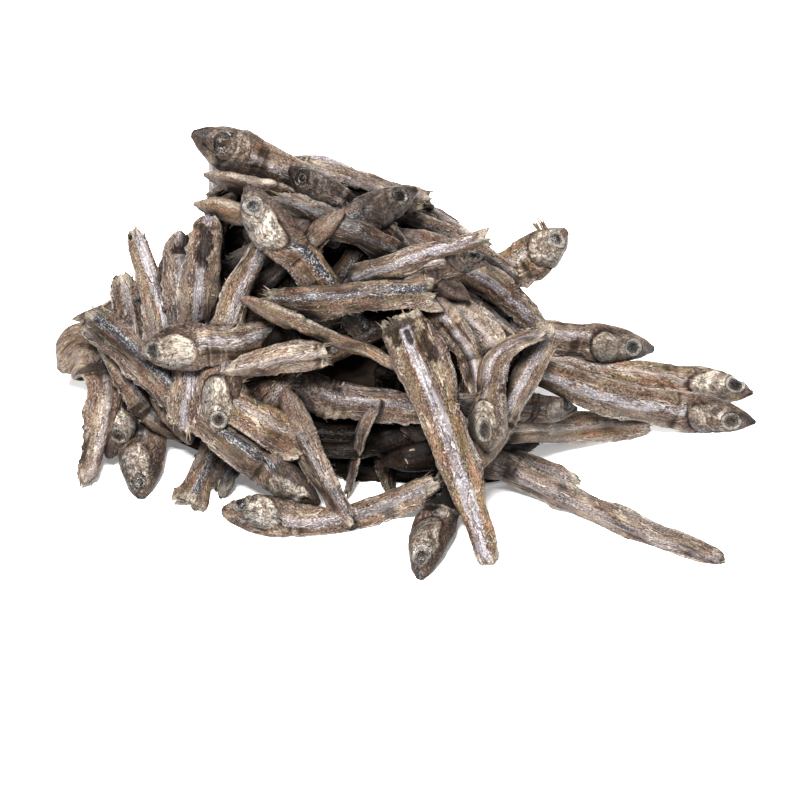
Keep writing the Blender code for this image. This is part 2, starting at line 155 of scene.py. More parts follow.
# Where the eye of each face is in the photograph, in pixels, how long its head is against the usual one, and
# how clear the ring round the eye is, down to 0 for a dark socket. The other fish taper to a plain end.
fishFaces = {
    "front_head": ((421, 555), 1.0, 0.8),
    "right_middle_head": ((737, 385), 1.2, 1.0),
    "right_low_head": ((732, 422), 1.2, 1.0),
    "right_high_head": ((634, 347), 1.06, 1.0),
    "far_right_head": ((557, 238), 0.85, 0.9),
    "lookout": ((222, 143), 1.0, 0.1),
    "dark_top_head": ((303, 178), 1.1, 0.1),
    "upper_right_head": ((401, 196), 1.1, 0.6),
    "open_mouth": ((473, 253), 0.9, 0.6),
    "left_down_head": ((140, 482), 0.9, 0.3),
    "left_small_head": ((118, 437), 1.0, 0.5),
    "left_long": ((305, 505), 1.0, 0.2),
    "middle_eye_head": ((219, 420), 1.0, 1.0),
    "upper_eye_head": ((254, 206), 1.25, 0.9),
    "middle_dark_head": ((288, 373), 1.0, 0.2),
    "middle_left_head": ((152, 351), 1.0, 0.5),
    "front_left_head": ((240, 488), 1.0, 0.7),
    "front_bent_head": ((487, 430), 1.2, 0.85),
    "right_dark_snout": ((567, 405), 0.8, 0.3),
}

# Faces drawn larger, and with the snout cut this share of the head short
roundFaces = {
    "front_bent_head": (1.45, 0.16),
}

# How much deeper than its solid a fish is at its head, at its tail and in the middle, where the photograph
# shows a stout one
stoutness = {
    "low_right_long": (0.1, 1.0),
    "left_bent": (0.8, 0.05),
    "lookout": (0.12, 0.0),
    "left_broad": (-0.12, 0.9, 0.25),
    "left_jaw": (-0.3, -0.2),
    "front_stripe": (0.35, 0.0),
    "upper_crossing": (-0.1, -0.1),
    "right_middle_tail": (0.0, 0.7),
    "left_long": (0.0, 0.8),
    "low_left_tail": (0.0, 0.3),
    "upper_eye_head": (0.1, 0.0),
    "right_middle_head": (0.15, 0.2),
    "right_low_head": (0.1, 0.2),
    "far_right_head": (0.1, 0.2),
    "front_left_head": (0.35, 0.3),
    "left_down_head": (0.3, 0.5),
    "left_small_head": (0.2, 0.0),
    "middle_left_head": (0.25, 0.1),
    "middle_eye_head": (0.15, 0.0),
    "golden_flank": (0.5, 1.0),
    "front_head": (0.15, 0.0),
    "front_bent_head": (0.6, 0.3, 0.55),
    "hook_tail": (0.0, 0.5),
    "left_upright": (0.5, 0.1, 0.7),
}

# Fish that show a little more than their solids do: pixels right and down, and millimetres towards the viewer
nudges = {
    "golden_flank": (10, -8, 4.0),
    "left_upright": (-5, 0, 1.0),
}


def fish(name, finish, seen, back, girth=1.0, head=True, fin=0.0, blunt=0.0, torn=()):
    eyeAt, headStretch, ring = fishFaces.get(name, (None, 1.0, 0.5))
    faceSize, snub = roundFaces.get(name, (1.0, 0.02))
    return dict(
        name=name, finish=finish, seen=seen, back=back, girth=girth, head=head, fin=fin, blunt=blunt,
        torn=torn, stout=stoutness.get(name, (0.0, 0.2)), face=float(name in fishFaces), eyeAt=eyeAt,
        headStretch=headStretch, ring=ring, faceSize=faceSize, snub=snub)


# seen: pixels from snout to tail, read in the 800 x 800 photograph. The lowest fish comes first.
# back: where the back edge points, in degrees: 0 is left of the run from snout to tail, 90 is at the viewer.
# torn: share of the length, height from -1 to 1, and half length, half height and depth in millimetres.
seenFish = [
    fish("inner_low_left", "shaded", [(330, 330), (285, 390), (238, 452)], 20),
    fish("inner_floor", "shaded", [(520, 472), (420, 474), (325, 462)], 180),
    fish("inner_middle", "shaded", [(300, 385), (380, 425), (468, 468)], 10),
    fish("inner_dark_gap", "shaded", [(372, 338), (400, 290), (432, 240)], 0),
    fish("inner_right_low", "shaded", [(360, 445), (430, 425), (505, 405)], 170),
    fish("inner_centre", "shaded", [(300, 300), (380, 335), (465, 385)], 10),
    fish("inner_left", "shaded", [(265, 290), (225, 330), (195, 385)], 180),
    fish("inner_top", "shaded", [(250, 250), (310, 225), (385, 215)], 10),
    fish("low_right_flap", "plain", [(400, 428), (490, 452), (582, 484)], 20, 0.8),
    fish("low_right_stub", "shaded", [(380, 462), (460, 450), (540, 440)], 0, 0.8),
    fish("low_right_long", "ashen", [(438, 442), (500, 466), (590, 508), (660, 541), (725, 563)], 30, 0.85),
    fish("front_head", "murky", [(420, 581), (432, 535), (455, 480), (478, 360)], 170,
         torn=[(0.42, 0, 6, 3.2, 1.4)]),
    fish("right_middle_tail", "tan", [(430, 430), (540, 428), (652, 424)], 15, 0.85),
    fish("right_dark_snout", "murky", [(578, 409), (520, 408), (430, 398)], 160, 0.75),
    fish("right_middle_head", "tan", [(756, 394), (700, 387), (615, 374), (470, 350)], 185),
    fish("right_low_head", "silver", [(758, 424), (690, 411), (610, 396), (480, 350)], 170),
    fish("right_high_head", "cream", [(656, 349), (590, 340), (540, 333), (430, 305)], 180),
    fish("far_right_head", "tan", [(568, 229), (545, 246), (512, 268), (460, 275), (405, 300)], 200, 1.15),
    fish("slope_back", "grey", [(345, 195), (415, 222), (470, 246), (520, 280)], 40, 0.85),
    fish("slope_second", "lilac", [(325, 215), (400, 243), (450, 268), (500, 300)], 30, 0.85),
    fish("slope_broad", "lilac", [(390, 232), (440, 255), (495, 285), (545, 330)], 0),
    fish("slope_thin", "plain", [(385, 245), (430, 275), (480, 308), (530, 345)], 80, 0.8),
    fish("slope_fourth", "grey", [(395, 268), (440, 295), (490, 325), (530, 362)], 50, 0.85),
    fish("slope_pale", "pale", [(415, 278), (450, 305), (485, 335), (520, 378)], 10),
    fish("slope_front", "lilac", [(418, 285), (450, 325), (470, 355), (482, 400)], 20, 0.85),
    fish("top_cut", "pale", [(293, 168), (345, 182), (385, 193), (432, 199)], 10, head=False,
         torn=[(0.45, -0.5, 7, 1.6, 1.2)]),
    fish("lookout", "plain", [(191, 133), (225, 147), (262, 164), (320, 192), (400, 238)], 10, 1.15),
    fish("under_lookout", "pale", [(203, 174), (250, 187), (300, 200), (380, 235)], 60, 0.85),
    fish("left_peak", "tan", [(193, 204), (235, 213), (280, 238), (335, 275)], 70),
    fish("dark_top_head", "wrinkled", [(289, 168), (312, 186), (345, 210), (420, 268)], 20),
    fish("upper_right_head", "wrinkled", [(417, 188), (388, 203), (350, 220), (300, 240), (250, 262)], 170),
    fish("dark_diagonal", "wrinkled", [(470, 300), (400, 256), (340, 225), (272, 197)], 170, 0.85),
    fish("stub_up", "plain", [(235, 330), (280, 270), (332, 228)], 0, 0.7),
    fish("thin_fork", "plain", [(345, 210), (300, 250), (246, 301)], 0, 0.6, fin=1.0),
    fish("left_gap_body", "dark", [(310, 222), (262, 250), (215, 275)], 0, 0.7),
    fish("open_mouth", "ashen", [(486, 258), (440, 264), (390, 275), (330, 300)], 190, 0.85),
    fish("left_far_tail", "grey", [(230, 262), (150, 290), (77, 328)], 160, 0.7, fin=0.8),
    fish("left_back_body", "dark", [(152, 470), (125, 400), (105, 342)], 180, 0.85),
    fish("left_down_head", "ashen", [(141, 501), (142, 460), (140, 400), (130, 335), (121, 273)], 190),
    fish("left_small_head", "cream", [(108, 459), (116, 420), (130, 375), (158, 325)], 0, 0.9),
    fish("left_bent", "pale", [(57, 371), (80, 350), (102, 372), (98, 430), (84, 486)], 350),
    fish("left_jaw", "murky", [(184, 441), (150, 414), (95, 335)], 200, 0.75),
    fish("left_upright", "silver", [(195, 445), (175, 350), (158, 290), (137, 227)], 180, 0.9),
    fish("left_curl", "grey", [(180, 231), (178, 270), (185, 330), (192, 430)],
         0, 0.9, head=False, blunt=1.0, torn=[(0.1, 0.1, 0.8, 2.6, 1.6)]),
    fish("low_left_tail", "inky", [(250, 375), (215, 445), (186, 512)], 0, 0.85, fin=1.0),
    fish("low_left_stub", "dark", [(285, 395), (245, 445), (211, 494)], 20, 0.85, fin=0.6),
    fish("golden_flank", "golden", [(180, 378), (225, 412), (265, 436), (302, 456)], 0),
    fish("left_long", "smoked", [(320, 505), (275, 472), (215, 428), (150, 368), (84, 312)], 180),
    fish("left_broad", "lilac", [(211, 215), (204, 260), (200, 320), (184, 434)], 20, 1.05, blunt=1.0,
         torn=[(0.13, 0.1, 4.5, 1.8, 2.0)]),
    fish("middle_eye_head", "cream", [(214, 434), (221, 395), (226, 340), (240, 290), (268, 235)], 170),
    fish("upper_crossing", "lilac", [(300, 335), (345, 285), (400, 264), (445, 249), (492, 236)],
         10, 0.8, fin=0.5),
    fish("upper_eye_head", "inky", [(247, 185), (270, 225), (305, 262), (370, 340)], 350, 1.1),
    fish("middle_dark_head", "grey", [(268, 370), (310, 390), (360, 402), (450, 408)], 10, 1.05),
    fish("middle_left_head", "cream", [(138, 352), (185, 346), (240, 343), (290, 328), (345, 310)],
         10, 1.05),
    fish("middle_striped", "inky", [(262, 303), (310, 302), (370, 296), (441, 291)],
         5, 0.95, head=False, fin=0.9),
    fish("middle_thin", "tan", [(239, 297), (290, 320), (345, 342), (412, 372)], 60, 0.75),
    fish("pale_scroll", "pale", [(333, 353), (290, 356), (225, 372)], 150, 0.85, head=False),
    fish("low_middle_thin", "grey", [(382, 400), (360, 440), (345, 498)], 60, 0.5, fin=0.5, blunt=1.0),
    fish("front_left_head", "cream", [(221, 510), (250, 515), (300, 524), (350, 518), (440, 482)], 350),
    fish("front_speckled", "grey", [(282, 385), (305, 440), (330, 490), (354, 527)], 30, 0.85),
    fish("hook_tail", "lilac", [(470, 475), (500, 420), (525, 375), (552, 326)], 0, 0.8),
    fish("front_stripe", "striped", [(398, 312), (425, 375), (452, 450), (472, 510), (490, 568)],
         180, 1.2, head=False,
         torn=[(0.05, 0.5, 4, 1.4, 1.5), (0.17, -0.55, 4.5, 1.3, 1.6), (0.11, 0.0, 2.2, 0.8, 1.2)]),
    fish("front_bent_head", "cream", [(487, 460), (488, 415), (492, 370), (512, 345), (548, 330)], 120),
]


class Side:
    # a drawing plane that faces a viewer at this azimuth round the heap: 0 is the photograph's own side
    def __init__(self, azimuth=0.0, elevation=photo["elevation"], middle=(0.0, 0.0, photo["middleHeight"])):
        turnSin, turnCos = math.sin(azimuth), math.cos(azimuth)
        riseSin, riseCos = math.sin(elevation), math.cos(elevation)
        self.axes = np.array([
            (turnCos, turnSin, 0.0),
            (-turnSin * riseSin, turnCos * riseSin, riseCos),
            (turnSin * riseCos, -turnCos * riseCos, riseSin),
        ])
        self.middle = np.array(middle)

    def toWorld(self, drawn):
        return self.middle + drawn @ self.axes

    def fromWorld(self, points):
        return (points - self.middle) @ self.axes.T


frontSide = Side()
pixel = fishBody["longest"] / photo["longestPixels"]


def drawnPlace(pixels):
    # a place in the photograph on the plane that faces its viewer
    return (np.array(pixels, float) - photo["middle"]) * pixel * (1, -1)


def arcOf(points):
    return np.concatenate([[0], np.cumsum(np.linalg.norm(np.diff(points, axis=0), axis=1))])


def between(wanted, places, rows):
    # each column of the rows at the wanted places, in straight lines between the given ones
    return np.column_stack([np.interp(wanted, places, column) for column in rows.T])


def evenRun(points, count):
    # evenly spaced points along a smooth curve through the given ones
    points = np.array(points, float)
    ends = np.vstack([2 * points[0] - points[1], points, 2 * points[-1] - points[-2]])
    fine = []
    for a, b, c, d in zip(ends, ends[1:], ends[2:], ends[3:]):
        for t in np.linspace(0, 1, 8, endpoint=False):
            fine.append(b + 0.5 * t * (c - a + t * (2 * a - 5 * b + 4 * c - d + t * (3 * (b - c) + d - a))))
    fine = np.array(fine + [points[-1]])
    arc = arcOf(fine)
    return between(np.linspace(0, arc[-1], count), arc, fine)


def unit(vectors):
    return vectors / np.maximum(np.linalg.norm(vectors, axis=-1, keepdims=True), 1e-9)


def squared(upper, along):
    # the directions to the back, square to the run
    return unit(upper - along * (upper * along).sum(axis=1)[:, None])


def headLengthOf(length):
    return min(fishBody["headLength"], fishBody["mostHead"] * length)


def stopsOf(length):
    # the distances from the snout at which the body's sizes are given
    head = headLengthOf(length)
    onHead = [share * head for share in fishBody["headStops"]]
    return onHead + [share * length for share in fishBody["bodyStops"]]


def bodySizes(distance, length, girth, head):
    # half depth and half thickness at this distance from the snout
    depths, thicknesses = list(fishBody["depths"]), list(fishBody["thicknesses"])
    if not head:
        depths[:3], thicknesses[:3] = fishBody["cutDepths"], fishBody["cutThicknesses"]
    depths.append(fishBody["tailDepth"] / fishBody["depth"])
    return [np.interp(distance, stopsOf(length), shares) * fishBody[size] / 2 * girth
            for size, shares in (("depth", depths), ("thickness", thicknesses))]


def moundAndTable(side, run):
    # depths towards the viewer at which each point meets the mound and the table
    flat = side.toWorld(np.column_stack([run, np.zeros(len(run))]))
    towards = side.axes[2]
    scale = np.array([mound["halfWidth"], mound["halfDepth"]])
    start = (flat[:, :2] - mound["centre"]) / scale
    step = towards[:2] / scale
    square = mound["height"] * (step @ step)
    linear = towards[2] + 2 * mound["height"] * (start @ step)
    constant = flat[:, 2] - mound["height"] * (1 - (start ** 2).sum(axis=1))
    meets = linear ** 2 - 4 * square * constant
    onMound = (np.sqrt(np.maximum(meets, 0)) - linear) / (2 * square)
    return onMound, -flat[:, 2] / towards[2], meets


def restLine(shares, needed):
    # the straight line on which the fish balances over its two highest supports
    best = None
    balance = resting["balance"]
    for i, low in enumerate(shares):
        for j, high in enumerate(shares):
            if not low <= balance < high:
                continue
            level = (needed[i] * (high - balance) + needed[j] * (balance - low)) / (high - low)
            if best is None or level > best[0]:
                best = (level, (needed[j] - needed[i]) / (high - low))
    return best


def lay(entry, side, run, back, lying):
    # the entry laid on the mound, the table and what already lies there, its spheres, and the air under it
    length = arcOf(run)[-1]
    stations, packing = resting["stations"], resting["packing"]
    shares = np.linspace(0, 1, stations)
    halfDepth, halfThickness = bodySizes(shares * length, length, entry["girth"], entry["head"])
    flat, edge = abs(math.cos(back)), abs(math.sin(back))
    reach = flat * halfDepth + edge * halfThickness
    thick = np.minimum(flat * halfThickness + edge * halfDepth, reach)
    along = unit(np.gradient(run, axis=0))
    left = np.column_stack([-along[:, 1], along[:, 0]])
    onMound, onTable, _ = moundAndTable(side, run)
    needed = np.maximum(onMound, onTable) + thick * packing
    rows = [run + left * (share * reach)[:, None] for share in (-0.5, 0, 0.5)]
    if len(lying):
        drawn = side.fromWorld(lying[:, :3])
        margin = 2 * fishBody["depth"]
        near = (drawn[:, :2] > run.min(axis=0) - margin) & (drawn[:, :2] < run.max(axis=0) + margin)
        drawn, radii = drawn[near.all(axis=1)], lying[near.all(axis=1), 3]
        for row in rows if len(drawn) else ():
            gap = ((row[:, None, :] - drawn[None, :, :2]) ** 2).sum(axis=2)
            touch = (thick[:, None] + radii[None, :]) ** 2
            depths = drawn[None, :, 2] + packing * np.sqrt(np.maximum(touch - gap, 0))
            needed = np.maximum(needed, np.where(gap < touch, depths, resting["farBelow"]).max(axis=1))
    level, slope = restLine(shares, needed)
    most = resting["steepest"] * length
    depth = np.maximum(level + max(-most, min(most, slope)) * (shares - resting["balance"]), needed)
    sag = np.minimum(resting["sag"] * (depth - needed), resting["mostSag"])
    depth -= np.convolve(np.pad(sag, 2, mode="edge"), np.full(5, 0.2), mode="valid")
    spine = side.toWorld(np.column_stack([run, depth]))
    facing = np.column_stack([left * math.cos(back), np.full(stations, math.sin(back))])
    backs = side.toWorld(facing) - side.middle
    spheres = [np.column_stack([side.toWorld(np.column_stack([row, depth])), thick]) for row in rows]
    lie = dict(entry, spine=spine, backs=backs, towards=side.axes[2])
    return lie, np.vstack(spheres), (depth - needed).mean()


def tubeFaces(count, around):
    # faces of a tube: rings of points one after another, then the point that closes each end
    ring = np.arange(around)
    after = (ring + 1) % around
    starts = (np.arange(count - 1) * around)[:, None]
    ahead = starts + around
    quads = np.stack([starts + ring, starts + after, ahead + after, ahead + ring], axis=-1)
    first = [(count * around, int(b), int(a)) for a, b in zip(ring, after)]
    base = (count - 1) * around
    last = [(count * around + 1, int(base + a), int(base + b)) for a, b in zip(ring, after)]
    return quads.reshape(-1, 4).tolist() + first + last


def cagePoints(lie):
    # the corners of the plain body that the solid model has for this fish
    spine = lie["spine"]
    arc = arcOf(spine)
    length = arc[-1]
    stops = stopsOf(length)[1:]
    halfDepth, halfThickness = bodySizes(np.array(stops), length, lie["girth"], lie["head"])
    curves = (spine, np.gradient(spine, axis=0), lie["backs"])
    middle, along, upper = [between(stops, arc, curve) for curve in curves]
    along = unit(along)
    upper = squared(upper, along)
    flank = np.cross(along, upper)
    turn = 2 * math.pi * np.arange(fishBody["sides"]) / fishBody["sides"]
    rise = np.cos(turn) - fishBody["bellyDrop"] * (1 - np.cos(turn)) / 2
    points = middle[:, None] + upper[:, None] * (halfDepth[:, None] * rise)[..., None]
    points = points + flank[:, None] * (halfThickness[:, None] * np.sin(turn))[..., None]
    tail = middle[-1] + along[-1] * fishBody["tailDepth"] * 0.3
    points = np.vstack([points.reshape(-1, 3), spine[0], tail])
    points[:, 2] = np.maximum(points[:, 2], resting["tableGap"])
    return points


def cagesTree(lies):
    # the plain bodies of these fish, as one surface to test against
    cage = tubeFaces(len(fishBody["headStops"] + fishBody["bodyStops"]) - 1, fishBody["sides"])
    corners, cageFaces = [], []
    for lie in lies:
        cageFaces += [[corner + len(corners) for corner in face] for face in cage]
        corners += cagePoints(lie).tolist()
    return BVHTree.FromPolygons(corners, cageFaces)


def moundSurface():
    # the solid model's own bumpy mound
    draw = random.Random(mound["seed"])
    points = []
    rings, sides = mound["rings"], mound["sides"]
    for k in range(rings):
        share = math.sqrt(1 - k / rings)
        for corner in range(sides):
            turn = 2 * math.pi * corner / sides
            bump = mound["bump"] * draw.uniform(-1, 1) if k else 0
            reach = np.array((mound["halfWidth"], mound["halfDepth"])) * share + bump
            x, y = np.array(mound["centre"]) + reach * (math.cos(turn), math.sin(turn))
            points.append((x, y, mound["height"] * k / rings))
    points += [(*mound["centre"], 0.0), (*mound["centre"], mound["height"])]
    return BVHTree.FromPolygons(points, tubeFaces(rings, sides))


def joinedTo(start, trees):
    # what holds together with this one, over any number of touching surfaces
    joined, edge = {start}, [start]
    while edge:
        near = edge.pop()
        for other in set(trees) - joined:
            if trees[near].overlap(trees[other]):
                joined.add(other)
                edge.append(other)
    return joined


def pressHome(lies):
    # a fish that touches nothing moves in, away from whoever looks at it, until it meets the rest
    trees = {index: cagesTree([lie]) for index, lie in enumerate(lies)}
    trees["mound"] = moundSurface()
    joined = joinedTo("mound", trees)
    for index, lie in enumerate(lies):
        if index in joined:
            continue
        met = False
        for _ in range(resting["mostPresses"]):
            lie["spine"] = lie["spine"] - lie["towards"] * resting["pressStep"]
            if met:
                break
            trees[index] = cagesTree([lie])
            met = any(trees[index].overlap(trees[other]) for other in joined)
        trees[index] = cagesTree([lie])
        joined = joinedTo("mound", trees)
        print(lie["name"], "pressed in")


def pictureCover(spheres, withMound=True):
    # the depth of what the photograph shows in each cell, far below where that is bare ground, and whether a
    # cell looks at the mound
    cell, halves = photo["coverCell"], photo["coverHalf"]
    counts = [round(2 * half / cell) for half in halves]
    across, up = [(np.arange(count) + 0.5) * cell - half for count, half in zip(counts, halves)]
    cells = np.stack(np.meshgrid(across, up, indexing="ij"), axis=-1)
    onMound, onTable, meets = moundAndTable(frontSide, cells.reshape(-1, 2))
    shown = (meets > 0) & (onMound > onTable)
    cover = np.where(shown & withMound, onMound, resting["farBelow"]).reshape(counts)
    for (x, y, depth), radius in zip(frontSide.fromWorld(spheres[:, :3]), spheres[:, 3]):
        near = (cells[..., 0] - x) ** 2 + (cells[..., 1] - y) ** 2 < radius ** 2
        cover[near] = np.maximum(cover[near], depth)
    return cover, shown.reshape(counts)


def cellsOf(points, cover):
    # the cells of these points, and the points' depths
    drawn = frontSide.fromWorld(points)
    cells = ((drawn[:, :2] + photo["coverHalf"]) / photo["coverCell"]).astype(int)
    cells = np.clip(cells, 0, np.array(cover.shape) - 1)
    return (cells[:, 0], cells[:, 1]), drawn[:, 2]


def isHidden(points, cover):
    cells, depth = cellsOf(points, cover)
    return bool((cover[cells] > depth).all())


def chanceFish(kind, found):
    # entries drawn by chance until enough are found, with the side, the run on it and the back's direction
    draw = random.Random(kind["seed"])
    for _ in range(kind["draws"]):
        if len(found) == kind["fish"]:
            return
        azimuth = math.radians(draw.uniform(*kind["azimuths"]))
        side = Side(azimuth, kind["elevation"], (*mound["centre"], kind["middleHeight"]))
        length = draw.uniform(*kind["lengths"])
        heading = math.radians(draw.gauss(0, kind["headings"])) + draw.choice((0, math.pi))
        across = draw.uniform(*kind["across"][0]) * kind["across"][1]
        rise = kind["lowest"] + kind["rise"] * len(found) / kind["fish"]
        middle = np.array((across, rise + kind["up"][1] * draw.uniform(*kind["up"][0])))
        ahead = np.array((math.cos(heading), math.sin(heading)))
        bow = np.array((-ahead[1], ahead[0])) * draw.uniform(-kind["bows"], kind["bows"]) * length
        stops = [middle - ahead * length / 2, middle + bow, middle + ahead * length / 2]
        back = math.radians(draw.gauss(0, kind["backs"])) + draw.choice((0, math.pi))
        entry = fish(f"{kind['name']}_{len(found)}", "plain", None, None, draw.uniform(*kind["girths"]))
        yield entry, side, evenRun(stops, resting["stations"]), back


def farFish(lying):
    # fish on the far side, kept only where the photograph wouldn't show them
    cover, _ = pictureCover(lying)
    found = []
    for entry, side, run, back in chanceFish(farSide, found):
        tries = run[::4]
        onGround = np.maximum(*moundAndTable(side, tries)[:2])
        if not isHidden(side.toWorld(np.column_stack([tries, onGround])), cover):
            continue
        lie, spheres, air = lay(entry, side, run, back, lying)
        if air <= farSide["mostAir"] and isHidden(cagePoints(lie), cover):
            found.append(lie)
            lying = np.vstack([lying, spheres])
    return found, lying


def underFish(lying):
    # fish on the bare mound, kept where other fish hide them or the photograph looks at the mound
    cover, onMound = pictureCover(lying, withMound=False)
    found, below = [], np.empty((0, 4))
    for entry, side, run, back in chanceFish(underlay, found):
        lie, spheres, air = lay(entry, side, run, back, below)
        cells, depth = cellsOf(cagePoints(lie), cover)
        bare = (cover[cells] < 0) & onMound[cells]
        if air <= underlay["mostAir"] and ((cover[cells] > depth) | bare).all():
            found.append(lie)
            below = np.vstack([below, spheres])
    return found


def settledHeap():
    # the fish that the photograph shows, the ones on the far side, and the ones underneath
    lying = np.empty((0, 4))
    shown = []
    for one in seenFish:
        run = evenRun(drawnPlace(one["seen"]), resting["stations"])
        lie, spheres, _ = lay(one, frontSide, run, math.radians(one["back"]), lying)
        lying = np.vstack([lying, spheres])
        shown.append(lie)
    far, lying = farFish(lying)
    pressHome(shown + far)
    under = underFish(lying)
    for one in shown:
        right, down, nearer = nudges.get(one["name"], (0, 0, 0))
        one["spine"] = one["spine"] + np.array([right * pixel, -down * pixel, nearer * mm]) @ frontSide.axes
    print(len(shown), "fish seen,", len(far), "on the far side,", len(under), "underneath")
    return shown, far, under


def patchy(u, v, seed, period=None):
    # a smooth random field from -1 to 1; period closes it round the body
    i, j = np.floor(u), np.floor(v)
    a, b = u - i, v - j
    a, b = a * a * (3 - 2 * a), b * b * (3 - 2 * b)

    def corner(p, q):
        q = q % period if period else q
        wave = np.sin(p * 127.1 + q * 311.7 + seed * 74.7) * 43758.5453
        return 2 * (wave - np.floor(wave)) - 1

    near = corner(i, j) * (1 - a) + corner(i + 1, j) * a
    return near * (1 - b) + (corner(i, j + 1) * (1 - a) + corner(i + 1, j + 1) * a) * b


def hill(distance, width):
    return np.exp(-(distance / width) ** 2)


def ramp(value, low, high):
    share = np.clip((value - low) / (high - low), 0, 1)
    return share * share * (3 - 2 * share)


def curveAt(wanted, arc, points):
    # a smooth curve through the points, at these distances
    slopes = np.gradient(points, arc, axis=0)
    k = np.clip(np.searchsorted(arc, wanted, side="right") - 1, 0, len(arc) - 2)
    span = (arc[k + 1] - arc[k])[:, None]
    t = (wanted - arc[k])[:, None] / span
    start = points[k] * (2 * t ** 3 - 3 * t ** 2 + 1) + slopes[k] * span * (t ** 3 - 2 * t ** 2 + t)
    return start + points[k + 1] * (3 * t ** 2 - 2 * t ** 3) + slopes[k + 1] * span * (t ** 3 - t ** 2)


# Looking out from the skin for other fish close by, to paint shade into the crevices: every so many rings
# and sides, from how far off and how far out
crevice = {
    "ringStep": 3,
    "sideStep": 4,
    "start": 1.6 * mm,
    "reach": 11 * mm,
    "ways": 6,
    "tilt": math.radians(55),
}


def creviceShadeShare(grid, outward, heapTree):
    # the share of the ways out from each part of the skin that other fish close off, painted as shade
    count, around = grid.shape[:2]
    rings = np.unique(np.append(np.arange(0, count, crevice["ringStep"]), count - 1))
    sides = np.arange(0, around, crevice["sideStep"])
    normals = unit(outward[np.ix_(rings, sides)])
    starts = grid[np.ix_(rings, sides)] + normals * crevice["start"]
    across = unit(np.cross(normals, (0.31, 0.52, 0.8)))
    over = np.cross(normals, across)
    closed = np.zeros(normals.shape[:2])
    for turn in 2 * math.pi * np.arange(crevice["ways"]) / crevice["ways"]:
        leaning = (across * math.cos(turn) + over * math.sin(turn)) * math.sin(crevice["tilt"])
        ways = normals * math.cos(crevice["tilt"]) + leaning
        hits = [heapTree.ray_cast(start, way, crevice["reach"])[0] is not None
                for start, way in zip(starts.reshape(-1, 3).tolist(), ways.reshape(-1, 3).tolist())]
        closed += np.reshape(hits, closed.shape) / crevice["ways"]
    whole = np.column_stack([closed, closed[:, 0]])
    wide = between(np.arange(around), np.append(sides, around), whole.T).T
    return between(np.arange(count), rings, wide)


# Relief of one fish, in millimetres of a full-size one: x runs from the snout, y from the middle line to the
# back. A hollow has its height, depth, half width, least share, and the length and seed of its noise.
relief = {
    "eye": (5.2, 0.9),
    "mostEyeShift": ((-4, 4), (-3, 1.3)),
    "ringRadius": 2.1,
    "gillMiddle": (8.0, -0.2),
    "gillReach": (6.3, 4.3),
    "gillSeams": ((8.7, 0.3), (10.9, 0.2)),
    "mouth": ((1.0, -0.9), (8.0, -3.0)),
    "mouthDepth": 0.45,
    "cutAt": 15.5,
    "stripeHeight": 0.5,
    "stripeHalfWidth": 1.25,
    "hollows": ((2.7, 0.55, 0.8, 0.6, 11, 0.36), (-1.9, 0.75, 0.95, 0.7, 13, 0.37)),
    "frayLength": 7.0,
    "fray": 1.8,
    "bluntEnd": 4.5 * mm,
    "snubEnd": 4 * mm,
    "curl": (0.9 * mm, 0.4 * mm),
}

# Mesh of one fish: points round it, and rings along its head and its body
grids = {
    "shown": (44, 42, 70),
    "inner": (28, 20, 44),
    "far": (32, 26, 40),
    "under": (24, 18, 30),
}


def fishFrame(lie, headed, headRings, bodyRings):
    # distances from the snout, taken as the photograph shows them where it does, and the body's frame at each
    arc = arcOf(lie["spine"])
    fine = np.linspace(0, arc[-1], 200)
    run = curveAt(fine, arc, lie["spine"])
    seenArc = arcOf(frontSide.fromWorld(run)[:, :2] if lie["seen"] else run)
    length = seenArc[-1]
    if headed:
        neck = headLengthOf(length) * 1.1
        onHead = neck * np.linspace(lie["snub"], 1, headRings)
        reach = np.concatenate([onHead, np.linspace(neck, length, bodyRings + 1)[1:]])
    else:
        reach = np.linspace(0, length, headRings // 2 + bodyRings)
    distance = np.interp(reach, seenArc, fine)
    middle = curveAt(distance, arc, lie["spine"])
    along = unit(np.gradient(middle, distance, axis=0))
    return reach, length, middle, along, squared(curveAt(distance, arc, lie["backs"]), along)


def stoutSizes(lie, reach, length, headed):
    # smoothed half depths and half thicknesses of a fish that may be stouter than its solid
    halfDepth, halfThickness = bodySizes(reach, length, lie["girth"], headed)
    headSwell, tailSwell, midSwell = (*lie["stout"], 0.0)[:3]
    share = reach / length
    swelling = headSwell * hill(share - 0.15, 0.18) + tailSwell * ramp(share, 0.45, 1)
    halfDepth = halfDepth * (1 + swelling + midSwell * hill(share - 0.42, 0.2))
    soften = np.hanning(9)[1:-1] / np.hanning(9).sum()
    return [np.convolve(np.pad(half, 3, mode="edge"), soften, mode="valid")
            for half in (halfDepth, halfThickness)]


def eyeInPlace(lie, x, y, shell, outward, headRings):
    # x and y on the head, moved so that the eye comes where the photograph has it, and drawn larger round it
    eyeX, eyeY = relief["eye"]
    shiftsX, shiftsY = relief["mostEyeShift"]
    away = np.linalg.norm(frontSide.fromWorld(shell)[..., :2] - drawnPlace(lie["eyeAt"]), axis=-1)
    away = np.where(outward @ frontSide.axes[2] > 0, away, 1.0)[:headRings]
    i, j = np.unravel_index(np.argmin(away), away.shape)
    fade = 1 - ramp(x, 9, 17)
    offX = x - np.clip(x[i, j] - eyeX, *shiftsX) * fade - eyeX
    offY = y - np.clip(y[i, j] - eyeY, *shiftsY) * fade - eyeY
    larger = 1 + (lie["faceSize"] - 1) * (1 - ramp(np.hypot(offX, offY), 4, 9))
    return eyeX + offX / larger, eyeY + offY / larger


def gillPlace(x, y):
    # a place on the head from the gill cover's middle, in shares of its reach
    (middleX, middleY), (reachX, reachY) = relief["gillMiddle"], relief["gillReach"]
    return (x - middleX) / reachX, (y - middleY) / reachY


